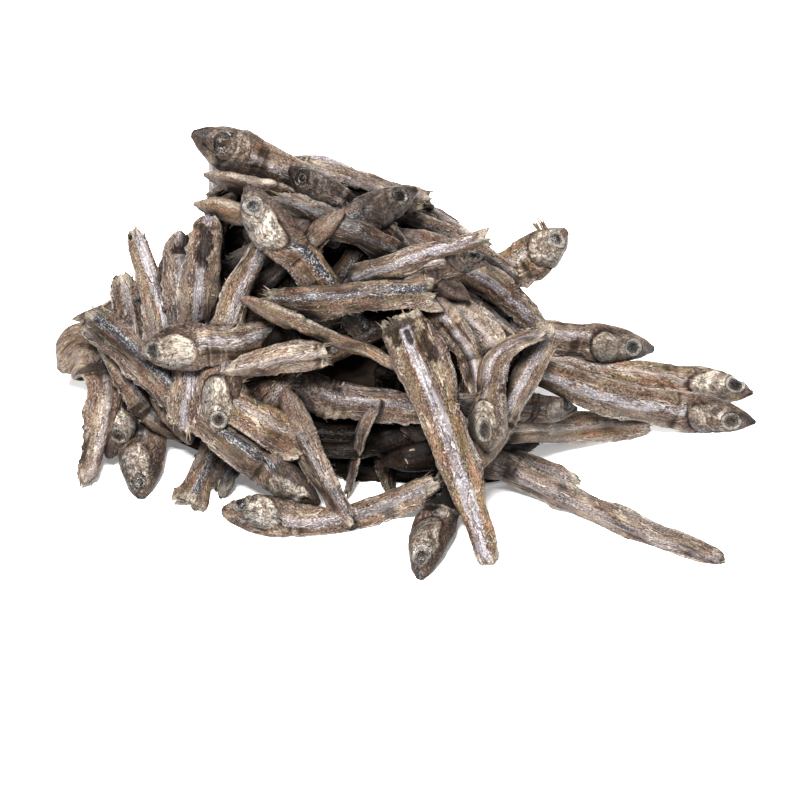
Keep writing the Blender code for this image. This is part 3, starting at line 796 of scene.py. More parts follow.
def headRelief(x, y, fromEye, eye, faced):
    # the gill cover with its seams, the mouth line, the ring and socket of the eye, and where the head is
    onHead = (1 - ramp(x, 14, 15.5)) * faced
    fromGill = np.hypot(*gillPlace(x, y))
    groove = 0.4 * hill(fromGill - 1.05, 0.06) * ramp(x, 8.5, 10.5) * faced * (0.2 + 0.8 * eye)
    plate = (0.1 + 0.26 * eye) * (1 - ramp(fromGill, 0.88, 1.0)) * onHead - groove
    for place, deep in relief["gillSeams"]:
        plate = plate - deep * hill(x - place + 0.1 * (y + 0.6) ** 2, 0.35) * onHead * (fromGill < 0.95)
    (mouthX, mouthY), (jawX, jawY) = relief["mouth"]
    overX, overY = jawX - mouthX, jawY - mouthY
    share = np.clip(((x - mouthX) * overX + (y - mouthY) * overY) / (overX ** 2 + overY ** 2), 0, 1)
    fromMouth = np.hypot(x - mouthX - share * overX, y - mouthY - share * overY)
    jaw = -relief["mouthDepth"] * hill(fromMouth, 0.3) * faced
    socket = 0.26 * hill(fromEye - relief["ringRadius"], 0.34) + 0.2 * hill(fromEye, 0.8)
    socket = socket - (0.4 + 0.6 * (1 - eye)) * (1 - ramp(fromEye, 1.5, 2.0))
    return plate, jaw, socket * (fromEye < 3.4), onHead


def tornPlaces(lie, x, y, depth, lift, field):
    # the relief with ragged pits and their raised rims, the pits, and the torn skin round them
    pit, rim = np.zeros_like(lift), np.zeros_like(lift)
    for place, height, halfLong, halfHigh, deep in lie["torn"]:
        offLong = (x - (x[0] + place * (x[-1] - x[0]))) / halfLong
        offHigh = (y - height * depth / mm / lie["girth"]) / halfHigh
        away = np.hypot(offLong, offHigh) + 0.3 * field(1.3, 16, 0.9) + 0.35 * field(3.5, 8, 0.92)
        pit = np.maximum(pit, 1 - ramp(away, 0.75, 1.0))
        lift = lift - deep * (1 - ramp(away, 0.7, 1.05)) + 0.3 * hill(away - 1.1, 0.12)
        rim = np.maximum(rim, hill(away - 1.2, 0.15) * ramp(field(1.5, 9, 0.95), -0.4, 0.2))
    return lift, pit, rim


def fishMesh(lie, who, heapTree, grid):
    # the points, faces, numbers for the finish, and bristles of one fish
    around, headRings, bodyRings = grids[grid]
    tone, warm, silver, dark, pearl, wrinkle = finishes[lie["finish"]]
    eye, girth, fin = lie["ring"], lie["girth"], lie["fin"]
    headed = lie["head"] and not lie["blunt"]
    faced = headed * lie["face"]
    draw = random.Random(who)
    reach, length, middle, along, upper = fishFrame(lie, headed, headRings, bodyRings)
    flank = np.cross(along, upper)
    halfDepth, halfThickness = stoutSizes(lie, reach, length, headed)
    even = 2 * math.pi * np.arange(around) / around
    turn = (even + 0.2 * np.sin(2 * even))[None, :]
    cosine, sine, turns = np.cos(turn), np.sin(turn), turn / (2 * math.pi)
    fullSize = fishBody["headLength"] / headLengthOf(length) if headed else 1
    x = (reach / mm * fullSize + (0 if headed else relief["cutAt"]))[:, None]
    stretch, usual = lie["headStretch"], fishBody["headLength"] / mm
    x = np.where(x < usual * stretch, x / stretch, x - usual * (stretch - 1))
    toTail = ((length - reach) / mm)[:, None]
    body = ramp(x, 14, 17)

    def field(alongScale, roundScale, seed):
        # a random field over the skin, closed round the body
        return patchy(x / alongScale, turns * roundScale, who + seed, roundScale)

    def wave(scale, seed):
        # a random line along the fish
        return patchy(x / scale, 0 * x, who + seed)

    def placed(start, high, wide):
        return start + upper[:, None] * high[..., None] + flank[:, None] * wide[..., None]

    # the plain body, with a wavy edge at the back and a ragged one at the belly
    backWave = 0.07 * wave(6, 0.1) + 0.03 * wave(1.6, 0.2)
    bellyWave = 0.13 * wave(6, 0.3) + 0.13 * (wave(1.1, 0.4) * ramp(wave(6, 0.45), 0.0, 0.5))
    edgeWave = np.where(cosine > 0, backWave, bellyWave) * body * wrinkle
    finShape = fin * hill(toTail, 4.5)
    depth = halfDepth[:, None] * (1 + edgeWave * np.abs(cosine) + finShape + 0.3 * hill(toTail, 6))
    rounded = np.sqrt(np.clip(1 - (1 - reach / relief["bluntEnd"]) ** 2, 0.02, 1))
    depth = depth * np.where(reach < relief["bluntEnd"], 1 - lie["blunt"] * (1 - rounded), 1)[:, None]
    if lie["snub"] > 0.1:
        close = 1 - (reach - reach[0]) / relief["snubEnd"]
        rounded = np.sqrt(np.clip(1 - close * np.abs(close), 0.02, 1))
        depth, halfThickness = depth * rounded[:, None], halfThickness * rounded
    keel = 1 - body * (0.6 * ramp(-cosine, 0.35, 1) + 0.25 * ramp(cosine, 0.6, 1))
    thickness = halfThickness[:, None] * keel * (1 - 0.7 * np.clip(finShape, 0, 1))
    rise = cosine - fishBody["bellyDrop"] * (1 - cosine) / 2
    plainHigh, plainWide = depth * rise, thickness * (np.sign(sine) * np.abs(sine) ** 0.85)
    outward = placed(0, cosine * thickness, sine * depth)
    y = depth * rise / mm / girth

    # the head's own coordinates
    headX, headY = x + 0 * y, y
    if lie["eyeAt"]:
        shell = placed(middle[:, None], plainHigh, plainWide)
        headX, headY = eyeInPlace(lie, headX, headY, shell, outward, headRings)
    headY = headY + body * draw.uniform(-0.8, 0.8)
    fromEye = np.hypot(headX - relief["eye"][0], headY - relief["eye"][1])
    bend = (1 - body) * ramp(fromEye, 2.2, 4.5) * faced
    headX = headX + field(3.2, 6, 1.5) * bend
    headY = headY + 0.75 * field(2.6, 7, 1.6) * bend
    plate, jaw, socket, onHead = headRelief(headX, headY, fromEye, eye, faced)
    plainEnd = (1 - body) * headed * (1 - lie["face"])

    # relief along the outward direction
    stripe = hill(headY - relief["stripeHeight"], relief["stripeHalfWidth"]) * body
    sway = 0.7 * wave(10, 0.35)
    hollows = 0
    for height, deep, half, least, scale, seed in relief["hollows"]:
        hollows = hollows - deep * hill(y - height + sway, half) * (least + 0.7 * wave(scale, seed)) * body
    hollows = hollows * ramp(depth / mm, 1.9, 3.4)
    folds = 0.5 * field(8.0, 5, 0.5) + (0.25 - 0.65 * np.abs(field(13.0, 7, 0.6))) * body
    gnarl = 0.14 * field(2.4, 9, 0.65) + 0.08 * field(1.0, 13, 0.66)
    fibres = 0.11 * field(9.0, 26, 0.7) * body
    creases = -0.4 * wrinkle * np.abs(field(1.2, 3, 0.8)) * hill(x - 17, 4.0) * body
    rough = (folds + gnarl * (0.4 + 0.6 * body)) * (0.4 + 0.6 * body) * wrinkle
    shapely = (socket + plate + jaw) * np.abs(sine) ** 0.3 * onHead
    dents = 0.35 * np.abs(field(3.0, 8, 0.82)) * plainEnd
    lift = 0.3 * stripe + hollows + rough + fibres + creases + shapely - dents
    lift, pit, rim = tornPlaces(lie, x, y, depth, lift, field)

    # frayed ends: how far the skin slides along the fish, and where it is pale
    fray = ramp(-toTail, -relief["frayLength"], 0)
    hair = patchy(0 * x + 3.3, turns * 15, who + 1.1, 15)
    hair = hair + 0.6 * patchy(0 * x + 8.1, turns * 29, who + 1.2, 29)
    slide = fray * (0.5 * hair - 0.2) * relief["fray"] * (1 + fin)
    slide = slide - fin * 3.0 * fray * (1 - np.abs(cosine)) - (0 if fin else 2.6) * fray * cosine ** 2
    pale = np.maximum(fray * ramp(0.5 * hair + fray, 0.5, 1.2), 0.8 * rim)
    if not lie["head"] and not lie["blunt"]:
        tornEnd = ramp(-x, -relief["cutAt"] - 4.5, -relief["cutAt"])
        slide = slide + tornEnd * (0.6 + 0.5 * hair) * relief["fray"]
        pale = np.maximum(pale, tornEnd)
        lift = lift + tornEnd * 0.5 * field(1.2, 9, 1.3)
    normal = unit(np.stack(np.broadcast_arrays(cosine * thickness, sine * depth), axis=-1))
    lifted = np.maximum(lift * mm * girth * np.minimum(thickness / mm, 1), -0.5 * thickness)
    curl = relief["curl"][0] * wave(8, 1.4) * ramp(-cosine, 0.4, 1) + relief["curl"][1] * wave(7, 1.45)
    wide = plainWide + lifted * normal[..., 1] + curl * body
    points = placed(middle[:, None], plainHigh + lifted * normal[..., 0], wide)
    points = points + along[:, None] * (slide * mm)[..., None]

    # the snout is a point, and torn ends fold in
    inTail = points[-1].mean(axis=0) - along[-1] * 0.5 * mm
    inHead = middle[0] - along[0] * 0.3 * mm if headed else points[0].mean(axis=0) + along[0] * 1.8 * mm
    points = np.vstack([points.reshape(-1, 3), inHead, inTail])
    floor = resting["tableGap"]
    points[:, 2] = np.where(points[:, 2] < floor, floor + 0.02 * (floor - points[:, 2]), points[:, 2])
    skinGrid = points[:-2].reshape(len(reach), around, 3)
    part = dict(points=points, faces=tubeFaces(len(reach), around))
    # how closed in each place is, painted into the colour as crevice shade
    closed = creviceShadeShare(skinGrid, outward, heapTree)[..., None]
    part["creviceShade"] = np.append(closed.ravel(), (closed[0].mean(), closed[-1].mean()))[:, None]

    # numbers for the finish
    # painted shade: how sunk the skin is in hollows, creases, seams, the jaw and pits, and on plain ends
    low = 0.45 * rough + 0.15 * hollows + 1.8 * creases + 1.3 * plate + 1.5 * jaw - 1.5 * pit - 0.1
    sunk = np.maximum(np.clip(-1.3 * low, 0, 1), 0.3 * plainEnd)
    fields = {
        "flank": (headX, headY, who * 20 + thickness / mm * sine),
        "shapes": (ramp(-cosine, 0.90, 0.99) * body, ramp(cosine, 0.93, 0.995), faced),
        "tones": (tone * draw.uniform(0.93, 1.07), warm, silver, dark),
        "states": (pale, sunk, pearl, eye),
    }
    part["bristles"] = bristlesOf(lie, skinGrid, along, upper, flank, cosine, sine, pit, draw)
    for key, columns in fields.items():
        values = np.stack(np.broadcast_arrays(lift, *columns)[1:], axis=-1)
        ends = [values[0].mean(axis=0), values[-1].mean(axis=0)]
        part[key] = np.vstack([values.reshape(-1, len(columns)), *ends])
    # painted shade at the two end points: the head end's share on both, or a dark 0.7 on a fish without a
    # head
    part["states"][-2:, 1] = part["states"][-2, 1] if headed else 0.7
    return part


# Frayed fibres at torn ends and edges: how many, and their lengths and widths
bristle = {
    "tail": (12, (1.0, 3.2), (0.16, 0.42)),
    "cut": (14, (0.8, 2.6), (0.16, 0.40)),
    "hole": (16, (0.6, 2.0), (0.14, 0.34)),
    "edge": (9, (0.5, 1.6), (0.12, 0.26)),
    "tuft": (16, (1.6, 4.2), (0.30, 0.60)),
}

# Fin tufts that stand up: where their roots are in the photograph, in pixels, and which way they point
tufts = {
    "far_right_head": ((543, 224), (-0.5, 1.0)),
    "middle_eye_head": ((244, 380), (0.6, 0.5)),
}


def bristlesOf(lie, grid, along, upper, flank, cosine, sine, pit, draw):
    # rows of root, direction, length and width
    count, around = grid.shape[:2]
    rows = []

    def grow(kind, root, ahead, spread):
        lengths, widths = bristle[kind][1:]
        lean = unit(ahead + spread * np.array([draw.gauss(0, 1) for _ in range(3)]))
        sizes = [draw.uniform(*lengths) * mm, draw.uniform(*widths) * mm]
        rows.append((*(root - lean * 0.3 * mm), *lean, *sizes))

    def outward(i, j):
        return unit(upper[i] * cosine[0, j] + flank[i] * sine[0, j])

    for _ in range(bristle["tail"][0]):
        i, j = count - 1 - draw.randrange(4), draw.randrange(around)
        grow("tail", grid[i, j], along[i] + 0.15 * outward(i, j), 0.18)
    if not lie["head"] and not lie["blunt"]:
        for _ in range(bristle["cut"][0]):
            i, j = draw.randrange(3), draw.randrange(around)
            grow("cut", grid[i, j], 0.3 * outward(i, j) - along[i], 0.25)
    ragged = np.argwhere((pit > 0.05) & (pit < 0.6))
    for _ in range(bristle["hole"][0] if len(ragged) else 0):
        i, j = ragged[draw.randrange(len(ragged))]
        grow("hole", grid[i, j], outward(i, j) + along[i] * draw.choice((-1, 1)), 0.5)
    for _ in range(bristle["edge"][0]):
        i, j = draw.randrange(count // 3, count - 4), around // 2 + draw.randrange(-1, 2)
        grow("edge", grid[i, j], 0.6 * outward(i, j) + along[i], 0.35)
    if lie["name"] in tufts:
        place, way = tufts[lie["name"]]
        away = np.linalg.norm(frontSide.fromWorld(grid)[..., :2] - drawnPlace(place), axis=-1)
        i, j = np.unravel_index(np.argmin(away), away.shape)
        ahead = unit(np.array([*way, 0.2]) @ frontSide.axes)
        for _ in range(bristle["tuft"][0]):
            near = min(count - 1, max(0, i + draw.randrange(-3, 4)))
            grow("tuft", grid[near, j], ahead, 0.22)
    # none reaches into the table
    return np.array([row for row in rows if row[2] + row[5] * row[6] > resting["tableGap"]])


def placedObject(name, data):
    thing = bpy.data.objects.new(name, data)
    bpy.context.scene.collection.objects.link(thing)
    return thing


def shapeOf(name, points, meshFaces, material=None):
    mesh = bpy.data.meshes.new(name)
    mesh.from_pydata(points, [], meshFaces)
    if material:
        mesh.materials.append(material)
    return placedObject(name, mesh)


def joinedPiece(name, parts, material):
    # one mesh from many fish, each with its own numbers for the finish
    points, meshFaces, start = [], [], 0
    for part in parts:
        points.append(part["points"] + heapShift)
        meshFaces += [tuple(corner + start for corner in face) for face in part["faces"]]
        start += len(part["points"])
    piece = shapeOf(name, np.vstack(points).tolist(), meshFaces, material)
    mesh = piece.data
    fields = {"flank": "vector", "shapes": "vector", "tones": "color", "states": "color", "creviceShade": "value"}
    kinds = {"vector": "FLOAT_VECTOR", "color": "FLOAT_COLOR", "value": "FLOAT"}
    for key, field in fields.items():
        if key in parts[0]:
            values = np.vstack([part[key] for part in parts]).astype(np.float32)
            mesh.attributes.new(key, kinds[field], "POINT").data.foreach_set(field, values.ravel())
    mesh.polygons.foreach_set("use_smooth", [True] * len(mesh.polygons))
    print(name, len(parts), "parts,", sum(len(face) - 2 for face in meshFaces), "triangles")
    return piece


def mathNode(operation, swapped=False):
    # a method that adds a maths node for one sum
    def summed(self, other=0.0):
        first, second = (other, self) if swapped else (self, other)
        return self.tree.node("ShaderNodeMath", {"operation": operation}, {0: first, 1: second})
    return summed


class Wire:
    # wraps one socket, so that sums on it read as Python
    def __init__(self, tree, socket):
        self.tree, self.socket = tree, socket

    __add__ = __radd__ = mathNode("ADD")
    __mul__ = __rmul__ = mathNode("MULTIPLY")
    __sub__ = mathNode("SUBTRACT")
    __rsub__ = mathNode("SUBTRACT", swapped=True)
    __truediv__ = mathNode("DIVIDE")
    __pow__ = mathNode("POWER")
    __abs__ = mathNode("ABSOLUTE")
    sine = mathNode("SINE")


class Tree:
    # a shader or geometry tree, with one way to add a node
    def __init__(self, nodeTree):
        self.nodeTree = nodeTree
        nodeTree.nodes.clear()

    def node(self, kind, settings=None, values=None, out=0):
        made = self.nodeTree.nodes.new(kind)
        for name, value in (settings or {}).items():
            setattr(made, name, value)
        for key, value in (values or {}).items():
            if isinstance(value, Wire):
                self.nodeTree.links.new(value.socket, made.inputs[key])
            else:
                made.inputs[key].default_value = value
        return Wire(self, made.outputs[out]) if made.outputs else made

    def step(self, value, low, high):
        # rises from 0 to 1 between these values
        limits = {"Value": value, "From Min": low, "From Max": high}
        return self.node("ShaderNodeMapRange", {"interpolation_type": "SMOOTHSTEP"}, limits)

    def fall(self, value, low, high):
        return 1 - self.step(value, low, high)

    def mix(self, factor, first, second):
        sockets = {"Factor": factor, 6: first, 7: second}
        return self.node("ShaderNodeMix", {"data_type": "RGBA", "clamp_factor": True}, sockets, out=2)

    def times(self, colour, factor):
        return self.node("ShaderNodeVectorMath", {"operation": "SCALE"}, {0: colour, "Scale": factor})

    def vector(self, x, y, z):
        return self.node("ShaderNodeCombineXYZ", None, {"X": x, "Y": y, "Z": z})

    def noise(self, vector, stretch=None, detail=3.0, rough=0.55, scale=1.0):
        if stretch:
            vector = self.node("ShaderNodeVectorMath", {"operation": "MULTIPLY"}, {0: vector, 1: stretch})
        sockets = {"Vector": vector, "Scale": scale, "Detail": detail, "Roughness": rough}
        return self.node("ShaderNodeTexNoise", None, sockets)

    def parts(self, vector):
        first = self.node("ShaderNodeSeparateXYZ", None, {0: vector})
        return [Wire(self, socket) for socket in first.socket.node.outputs]

    def ramp(self, factor, stops):
        # a colour ramp with (place, colour) stops
        made = self.node("ShaderNodeValToRGB", None, {"Fac": factor})
        elements = made.socket.node.color_ramp.elements
        while len(elements) < len(stops):
            elements.new(0.5)
        for element, (place, stopColour) in zip(elements, stops):
            element.position = place
            element.color = stopColour
        return made

    def bump(self, height, distance):
        return self.node("ShaderNodeBump", None, {"Height": height, "Strength": 1.0, "Distance": distance})

    def surface(self, values):
        # a shader with these values, as the surface of the material
        shader = self.node("ShaderNodeBsdfPrincipled", None, values)
        self.node("ShaderNodeOutputMaterial", None, {"Surface": shader})

    def attribute(self, name, out=1):
        return self.node("ShaderNodeAttribute", {"attribute_name": name}, None, out)

    def input(self, name, kind, to="INPUT"):
        # a named input of a geometry tree
        return self.nodeTree.interface.new_socket(name, in_out=to, socket_type=kind).identifier


def colour(red, green, blue):
    # a colour as a screen shows it, from 0 to 255, in linear light
    linear = [((c / 255 + 0.055) / 1.055) ** 2.4 if c > 10 else c / 255 / 12.92 for c in (red, green, blue)]
    return (*linear, 1.0)


def newMaterial(name):
    material = bpy.data.materials.new(name)
    material.use_nodes = True
    return material, Tree(material.node_tree)


skin = {
    "umber": colour(74, 50, 37),
    "roseBrown": colour(140, 102, 81),
    "greyTan": colour(154, 129, 106),
    "lightTan": colour(202, 180, 154),
    "amber": colour(158, 102, 62),
    "lilac": colour(158, 135, 137),
    "olive": colour(148, 126, 78),
    "backBrown": colour(88, 62, 46),
    "edge": colour(214, 200, 184),
    "silver": colour(186, 178, 184),
    "inky": colour(52, 52, 60),
    "glint": colour(232, 232, 234),
    "speck": colour(30, 21, 18),
    "sunk": colour(50, 35, 27),
    "pearl": colour(226, 214, 196),
    "steel": colour(162, 148, 132),
    "blush": colour(150, 124, 106),
    "stain": colour(98, 72, 56),
    "frayed": colour(206, 190, 168),
    "eyeRing": colour(206, 200, 186),
    "iris": colour(126, 120, 112),
    "pupil": colour(38, 36, 38),
    "mouth": colour(62, 40, 34),
    "roughness": 0.36,
    "specular": 0.26,
    "shadedSpecular": 0.05,
    "bump": 0.5 * mm,
}

# Noise over the skin: its stretch along, up and through a fish, detail, roughness and scale
skinNoise = {
    "fibre": ((0.09, 1.05, 1.05), 4.0, 0.55),
    "patch": ((0.13, 0.30, 0.30), 5.0, 0.62),
    "mottle": ((0.55, 0.7, 0.7), 3.0, 0.6),
    "hue": ((0.06, 0.22, 0.30), 2.0, 0.5, 3.1),
    "grain": ((2.0, 3.1, 3.1), 2.0, 0.7),
    "folds": ((0.08, 0.45, 0.45), 2.0, 0.55),
    "cracks": ((0.75, 1.0, 0.9), 3.0, 0.6),
}

# Ground colours of the skin from dark to light, and of an eye from its middle out
skinStops = [(0.38, "umber"), (0.46, "roseBrown"), (0.54, "greyTan"), (0.64, "lightTan")]
# the grey dot at the very middle of the pupil is a painted glint
eyeStops = [
    (0.00, "iris"), (0.06, "pupil"), (0.36, "pupil"), (0.46, "iris"), (0.54, "stain"),
    (0.60, "eyeRing"), (0.76, "eyeRing"), (0.84, "speck"), (0.92, "mouth"),
]


def fishSkin(name, specular):
    # layer on layer over a ground colour: first the flank, then the head, then what is torn, and painted
    # shade where the skin is sunk
    material, tree = newMaterial(name)
    step, fall = tree.step, tree.fall
    flank = tree.attribute("flank")
    x, y, z = tree.parts(flank)
    tone, warm, silver = tree.parts(tree.attribute("tones", 0))
    dark = tree.attribute("tones", 3)
    pale, sunk, pearl = tree.parts(tree.attribute("states", 0))
    eye = tree.attribute("states", 3)
    belly, ridge, face = tree.parts(tree.attribute("shapes"))
    creviceShade = tree.attribute("creviceShade", 2)
    fibre, patch, mottle, hue, grain, folds, cracks = [tree.noise(flank, *how) for how in skinNoise.values()]
    slant = x + abs(y - 0.5) * 0.9 + (patch - 0.5) * 3
    segments = tree.noise(tree.vector(slant * 1.25, y * 0.2, z * 0.2), None, 2.0, 0.6)
    backDark = 1.1 - step(tone, 0.7, 1.4) * 0.8
    painted = tree.ramp(
        fibre * 0.24 + patch * 0.66 + segments * 0.1 + (tone - 1) * 0.20,
        [(place, skin[key]) for place, key in skinStops])

    # the flank: golden bands, the stripe along the middle, and long folds, each a line of painted shade with
    # a painted highlight on its lip
    body = step(x, 13.6, 15.2)
    offStripe = abs(y - 0.5 + (patch - 0.5) * 1.4)
    bands = step(offStripe, 1.0, 1.6) * fall(offStripe, 3.2, 4.4)
    golden = tree.mix(step(hue, 0.42, 0.58), skin["amber"], skin["olive"])
    width = 0.4 + hue * 1.0 + silver * 0.45
    stripe = fall(offStripe / width, 0.75, 1.15) * body * step(hue + patch, 0.72, 0.95)
    # the stripe's silver: partly its own colour, partly painted highlight
    shine = stripe * silver * (0.55 + step(grain * 0.3 + fibre * 0.7, 0.42, 0.56) * 0.4)
    foldShade = step(folds, 0.475, 0.495) * fall(folds, 0.497, 0.505) * body
    foldHighlight = step(folds, 0.500, 0.508) * fall(folds, 0.515, 0.540) * body
    rim = fall(abs(offStripe / width - 1.1), 0.1, 0.4) * body
    # painted highlights: small white glints over the skin, more on the stripe
    glints = step(grain, 0.55, 0.61) * (stripe * (silver * 0.12 + dark * 0.28) + 0.14)
    layers = [
        (step(hue, 0.52, 0.66) * 0.45, skin["lilac"]),
        (step(0 - hue, -0.46, -0.34) * (0.25 + warm * 0.4), skin["amber"]),
        (bands * warm * step(hue * 0.6 + fibre * 0.4, 0.36, 0.52), golden),
        (step(y, 2.2, 4.2) * step(patch, 0.3, 0.6) * 0.6 * backDark, skin["backBrown"]),
        (shine, skin["silver"]),
        (stripe * dark * step(patch * 0.5 + fibre * 0.5, 0.38, 0.50), skin["inky"]),
        (foldShade * 0.7, skin["umber"]),
        (foldHighlight * 0.55, skin["edge"]),
        (fall(grain, 0.39, 0.45) * (rim * 0.6 + 0.3 - stripe * 0.2), skin["speck"]),
        (glints, skin["glint"]),
        # pale rims along the belly and back edges: partly the thin skin's own colour, partly painted
        # highlight
        ((belly * 0.9 + ridge * 0.5) * step(grain * 0.5 + patch * 0.5, 0.40, 0.52), skin["edge"]),
    ]

    # the head: gill cover, mouth and eye
    head = face * fall(x, 14.2, 15.2)
    gillX, gillY = gillPlace(x, y)
    fromGill = (gillX * gillX + gillY * gillY) ** 0.5
    arcs = tree.noise(tree.vector(fromGill * 5.0, y * 0.3, z), None, 3.0, 0.65)
    cover = fall(fromGill, 0.90, 1.0) * head * step(x + patch * 3, 6.4, 8.6)
    # the cover's pearly patches: partly their own colour, partly painted sheen
    sheen = cover * step(arcs * 0.5 + mottle * 0.5 + pearl * 0.11, 0.48, 0.62) * (0.1 + pearl * 0.70)
    nacre = tree.mix(step(mottle * 0.4 + patch * 0.6, 0.46, 0.56), skin["steel"], skin["pearl"])
    streaks = cover * fall(arcs, 0.38, 0.47) * step(x, 7.5, 9.5)
    lines = fall(abs(cracks - 0.5), 0.006, 0.035) * head * (0.95 - pearl * 0.25)
    seams = fall(abs(x - 8.7 + (y + 0.6) * (y + 0.6) * 0.1), 0.1, 0.45) * cover
    gap = fall(abs(fromGill - 1.03), 0.02, 0.07) * head * step(x - y * 0.5, 8.5, 10.5) * (eye * 0.9 + 0.1)
    seams = seams * 0.5 + gap * step(mottle, 0.38, 0.55)
    eyeX, eyeY = x - relief["eye"][0], y - relief["eye"][1]
    fromEye = (eyeX * eyeX + eyeY * eyeY) ** 0.5 + (grain - 0.5) * 0.35 + (mottle - 0.5) * (1 - eye) * 5
    onEye = head * fall(fromEye, 2.1, 2.3)
    ripples = step((fromEye * 7 + patch * 5).sine(), 0.55, 0.95)
    aroundEye = ripples * step(fromEye, 2.4, 2.8) * fall(fromEye, 3.4, 4.6) * head
    rings = tree.ramp(fromEye / 2.5, [(place, skin[key]) for place, key in eyeStops])
    rings = tree.mix((1 - eye) * 0.9, rings, skin["speck"])
    rings = tree.mix(step(patch + grain, 0.9, 1.2) * 0.5, rings, skin["stain"])
    layers += [
        (head * step(y + patch * 2, 1.4, 3.6) * 0.6 * backDark, skin["backBrown"]),
        (cover * 0.75, skin["blush"]),
        (sheen, nacre),
        (streaks * (0.9 - pearl * 0.4), skin["stain"]),
        (cover * step(mottle * 5 - y, 2.6, 5.2) * 0.65, skin["inky"]),
        (lines * 0.85, skin["speck"]),
        (seams * 0.9, skin["mouth"]),
        (fall(x, 1.0, 3.6) * head * 0.8, skin["mouth"]),
        (aroundEye * 0.55, skin["mouth"]),
        (onEye, rings),
    ]

    # painted shade: sunk places, creases and pits darkened, and Metallic below darkens their specular too
    furrow = step(sunk + (grain - 0.5) * 0.8 + (fibre - 0.5) * 1.8, 0.25, 0.8)
    layers += [
        (step(pale + fibre, 0.75, 1.05) * 0.85, skin["frayed"]),
        (furrow * 0.85, skin["sunk"]),
    ]
    for share, tint in layers:
        painted = tree.mix(share, painted, tint)
    speckle = grain * 0.44 + fibre * 0.24 + patch * 0.24 + segments * 0.08
    limits = {"Value": speckle, "From Min": 0.412, "From Max": 0.588, "To Min": 0.02, "To Max": 0.39}
    grit = tree.node("ShaderNodeMapRange", None, limits)
    soft = step(tone, 0.95, 1.6) * 0.5 + shine * 0.35
    grit = grit * (1 - soft) + soft * 0.24
    # painted shade: the colour darkened where other fish close the skin in
    shade = 1.04 - step(creviceShade, 0.05, 0.8) * 0.86
    # painted highlights: sheen, shine, glints and fold lips also brighten the colour
    light = tone * shade * (grit + sheen * 0.14 + shine * 0.10 + glints * 0.3 + foldHighlight * 0.1)
    height = fibre * 0.30 + grain * 0.24 + segments * 0.12 + foldHighlight * 0.3 - foldShade * 0.3 - lines * 0.4
    dull = skin["roughness"] + grain * 0.25 - shine * 0.06 - sheen * 0.1 - onEye * 0.2 + furrow * 0.35
    tree.surface({
        "Base Color": tree.times(painted, light),
        "Roughness": dull,
        "Metallic": shine * 0.1 + sheen * 0.1 + furrow * 0.6,
        "Specular IOR Level": specular,
        "Normal": tree.bump(height, skin["bump"])})
    return material


# Loose bits on the heap: thin flakes of skin that have come away, and frayed fibres
bits = {
    "flakesPerSquareMetre": 17000.0,
    "flakeWidth": (0.35, 1.25),
    "steepest": 0.25,
    "seed": 4,
    "brown": colour(88, 66, 50),
    "pale": colour(142, 120, 98),
    "white": colour(160, 140, 118),
    "brightness": 0.44,
}


def looseSkin():
    material, tree = newMaterial("looseSkin")
    speckle = tree.noise(tree.node("ShaderNodeTexCoord", out=3), None, 2.0, scale=420.0)
    tint = tree.ramp(speckle, [(0.38, bits["brown"]), (0.54, bits["pale"]), (0.68, bits["white"])])
    tree.surface({"Base Color": tree.times(tint, bits["brightness"]), "Roughness": 0.5})
    return material


def flakeShape():
    # one curled flake, a millimetre wide and closed all round
    rim = [(0.9 * math.cos(turn) * reach, 0.28 * math.sin(turn) * reach, 0.25 * math.cos(turn) ** 2)
           for turn, reach in zip(np.linspace(0, 2 * math.pi, 7)[:6], (1.0, 0.8, 1.1, 0.9, 0.75, 1.05))]
    points = [tuple(value * mm for value in corner) for corner in rim + [(0, 0, 0.08), (0, 0, -0.05)]]
    sides = [(6, k, (k + 1) % 6) for k in range(6)] + [(7, (k + 1) % 6, k) for k in range(6)]
    return shapeOf("flake", points, sides)


def fibreShape():
    # one flat tapered fibre, a metre long and a metre wide before it is scaled
    points = [
        (0.5, 0, 0), (0, 0.2, 0), (-0.5, 0, 0), (0, -0.2, 0),
        (0.42, 0.05, 0.55), (0.1, 0.2, 0.5), (-0.3, 0.1, 0.6), (0.1, -0.1, 0.5), (0.05, 0.1, 1),
    ]
    sides = [(k, (k + 1) % 4, (k + 1) % 4 + 4, k + 4) for k in range(4)]
    tips = [(k + 4, (k + 1) % 4 + 4, 8) for k in range(4)]
    return shapeOf("fibre", points, [(3, 2, 1, 0)] + sides + tips)


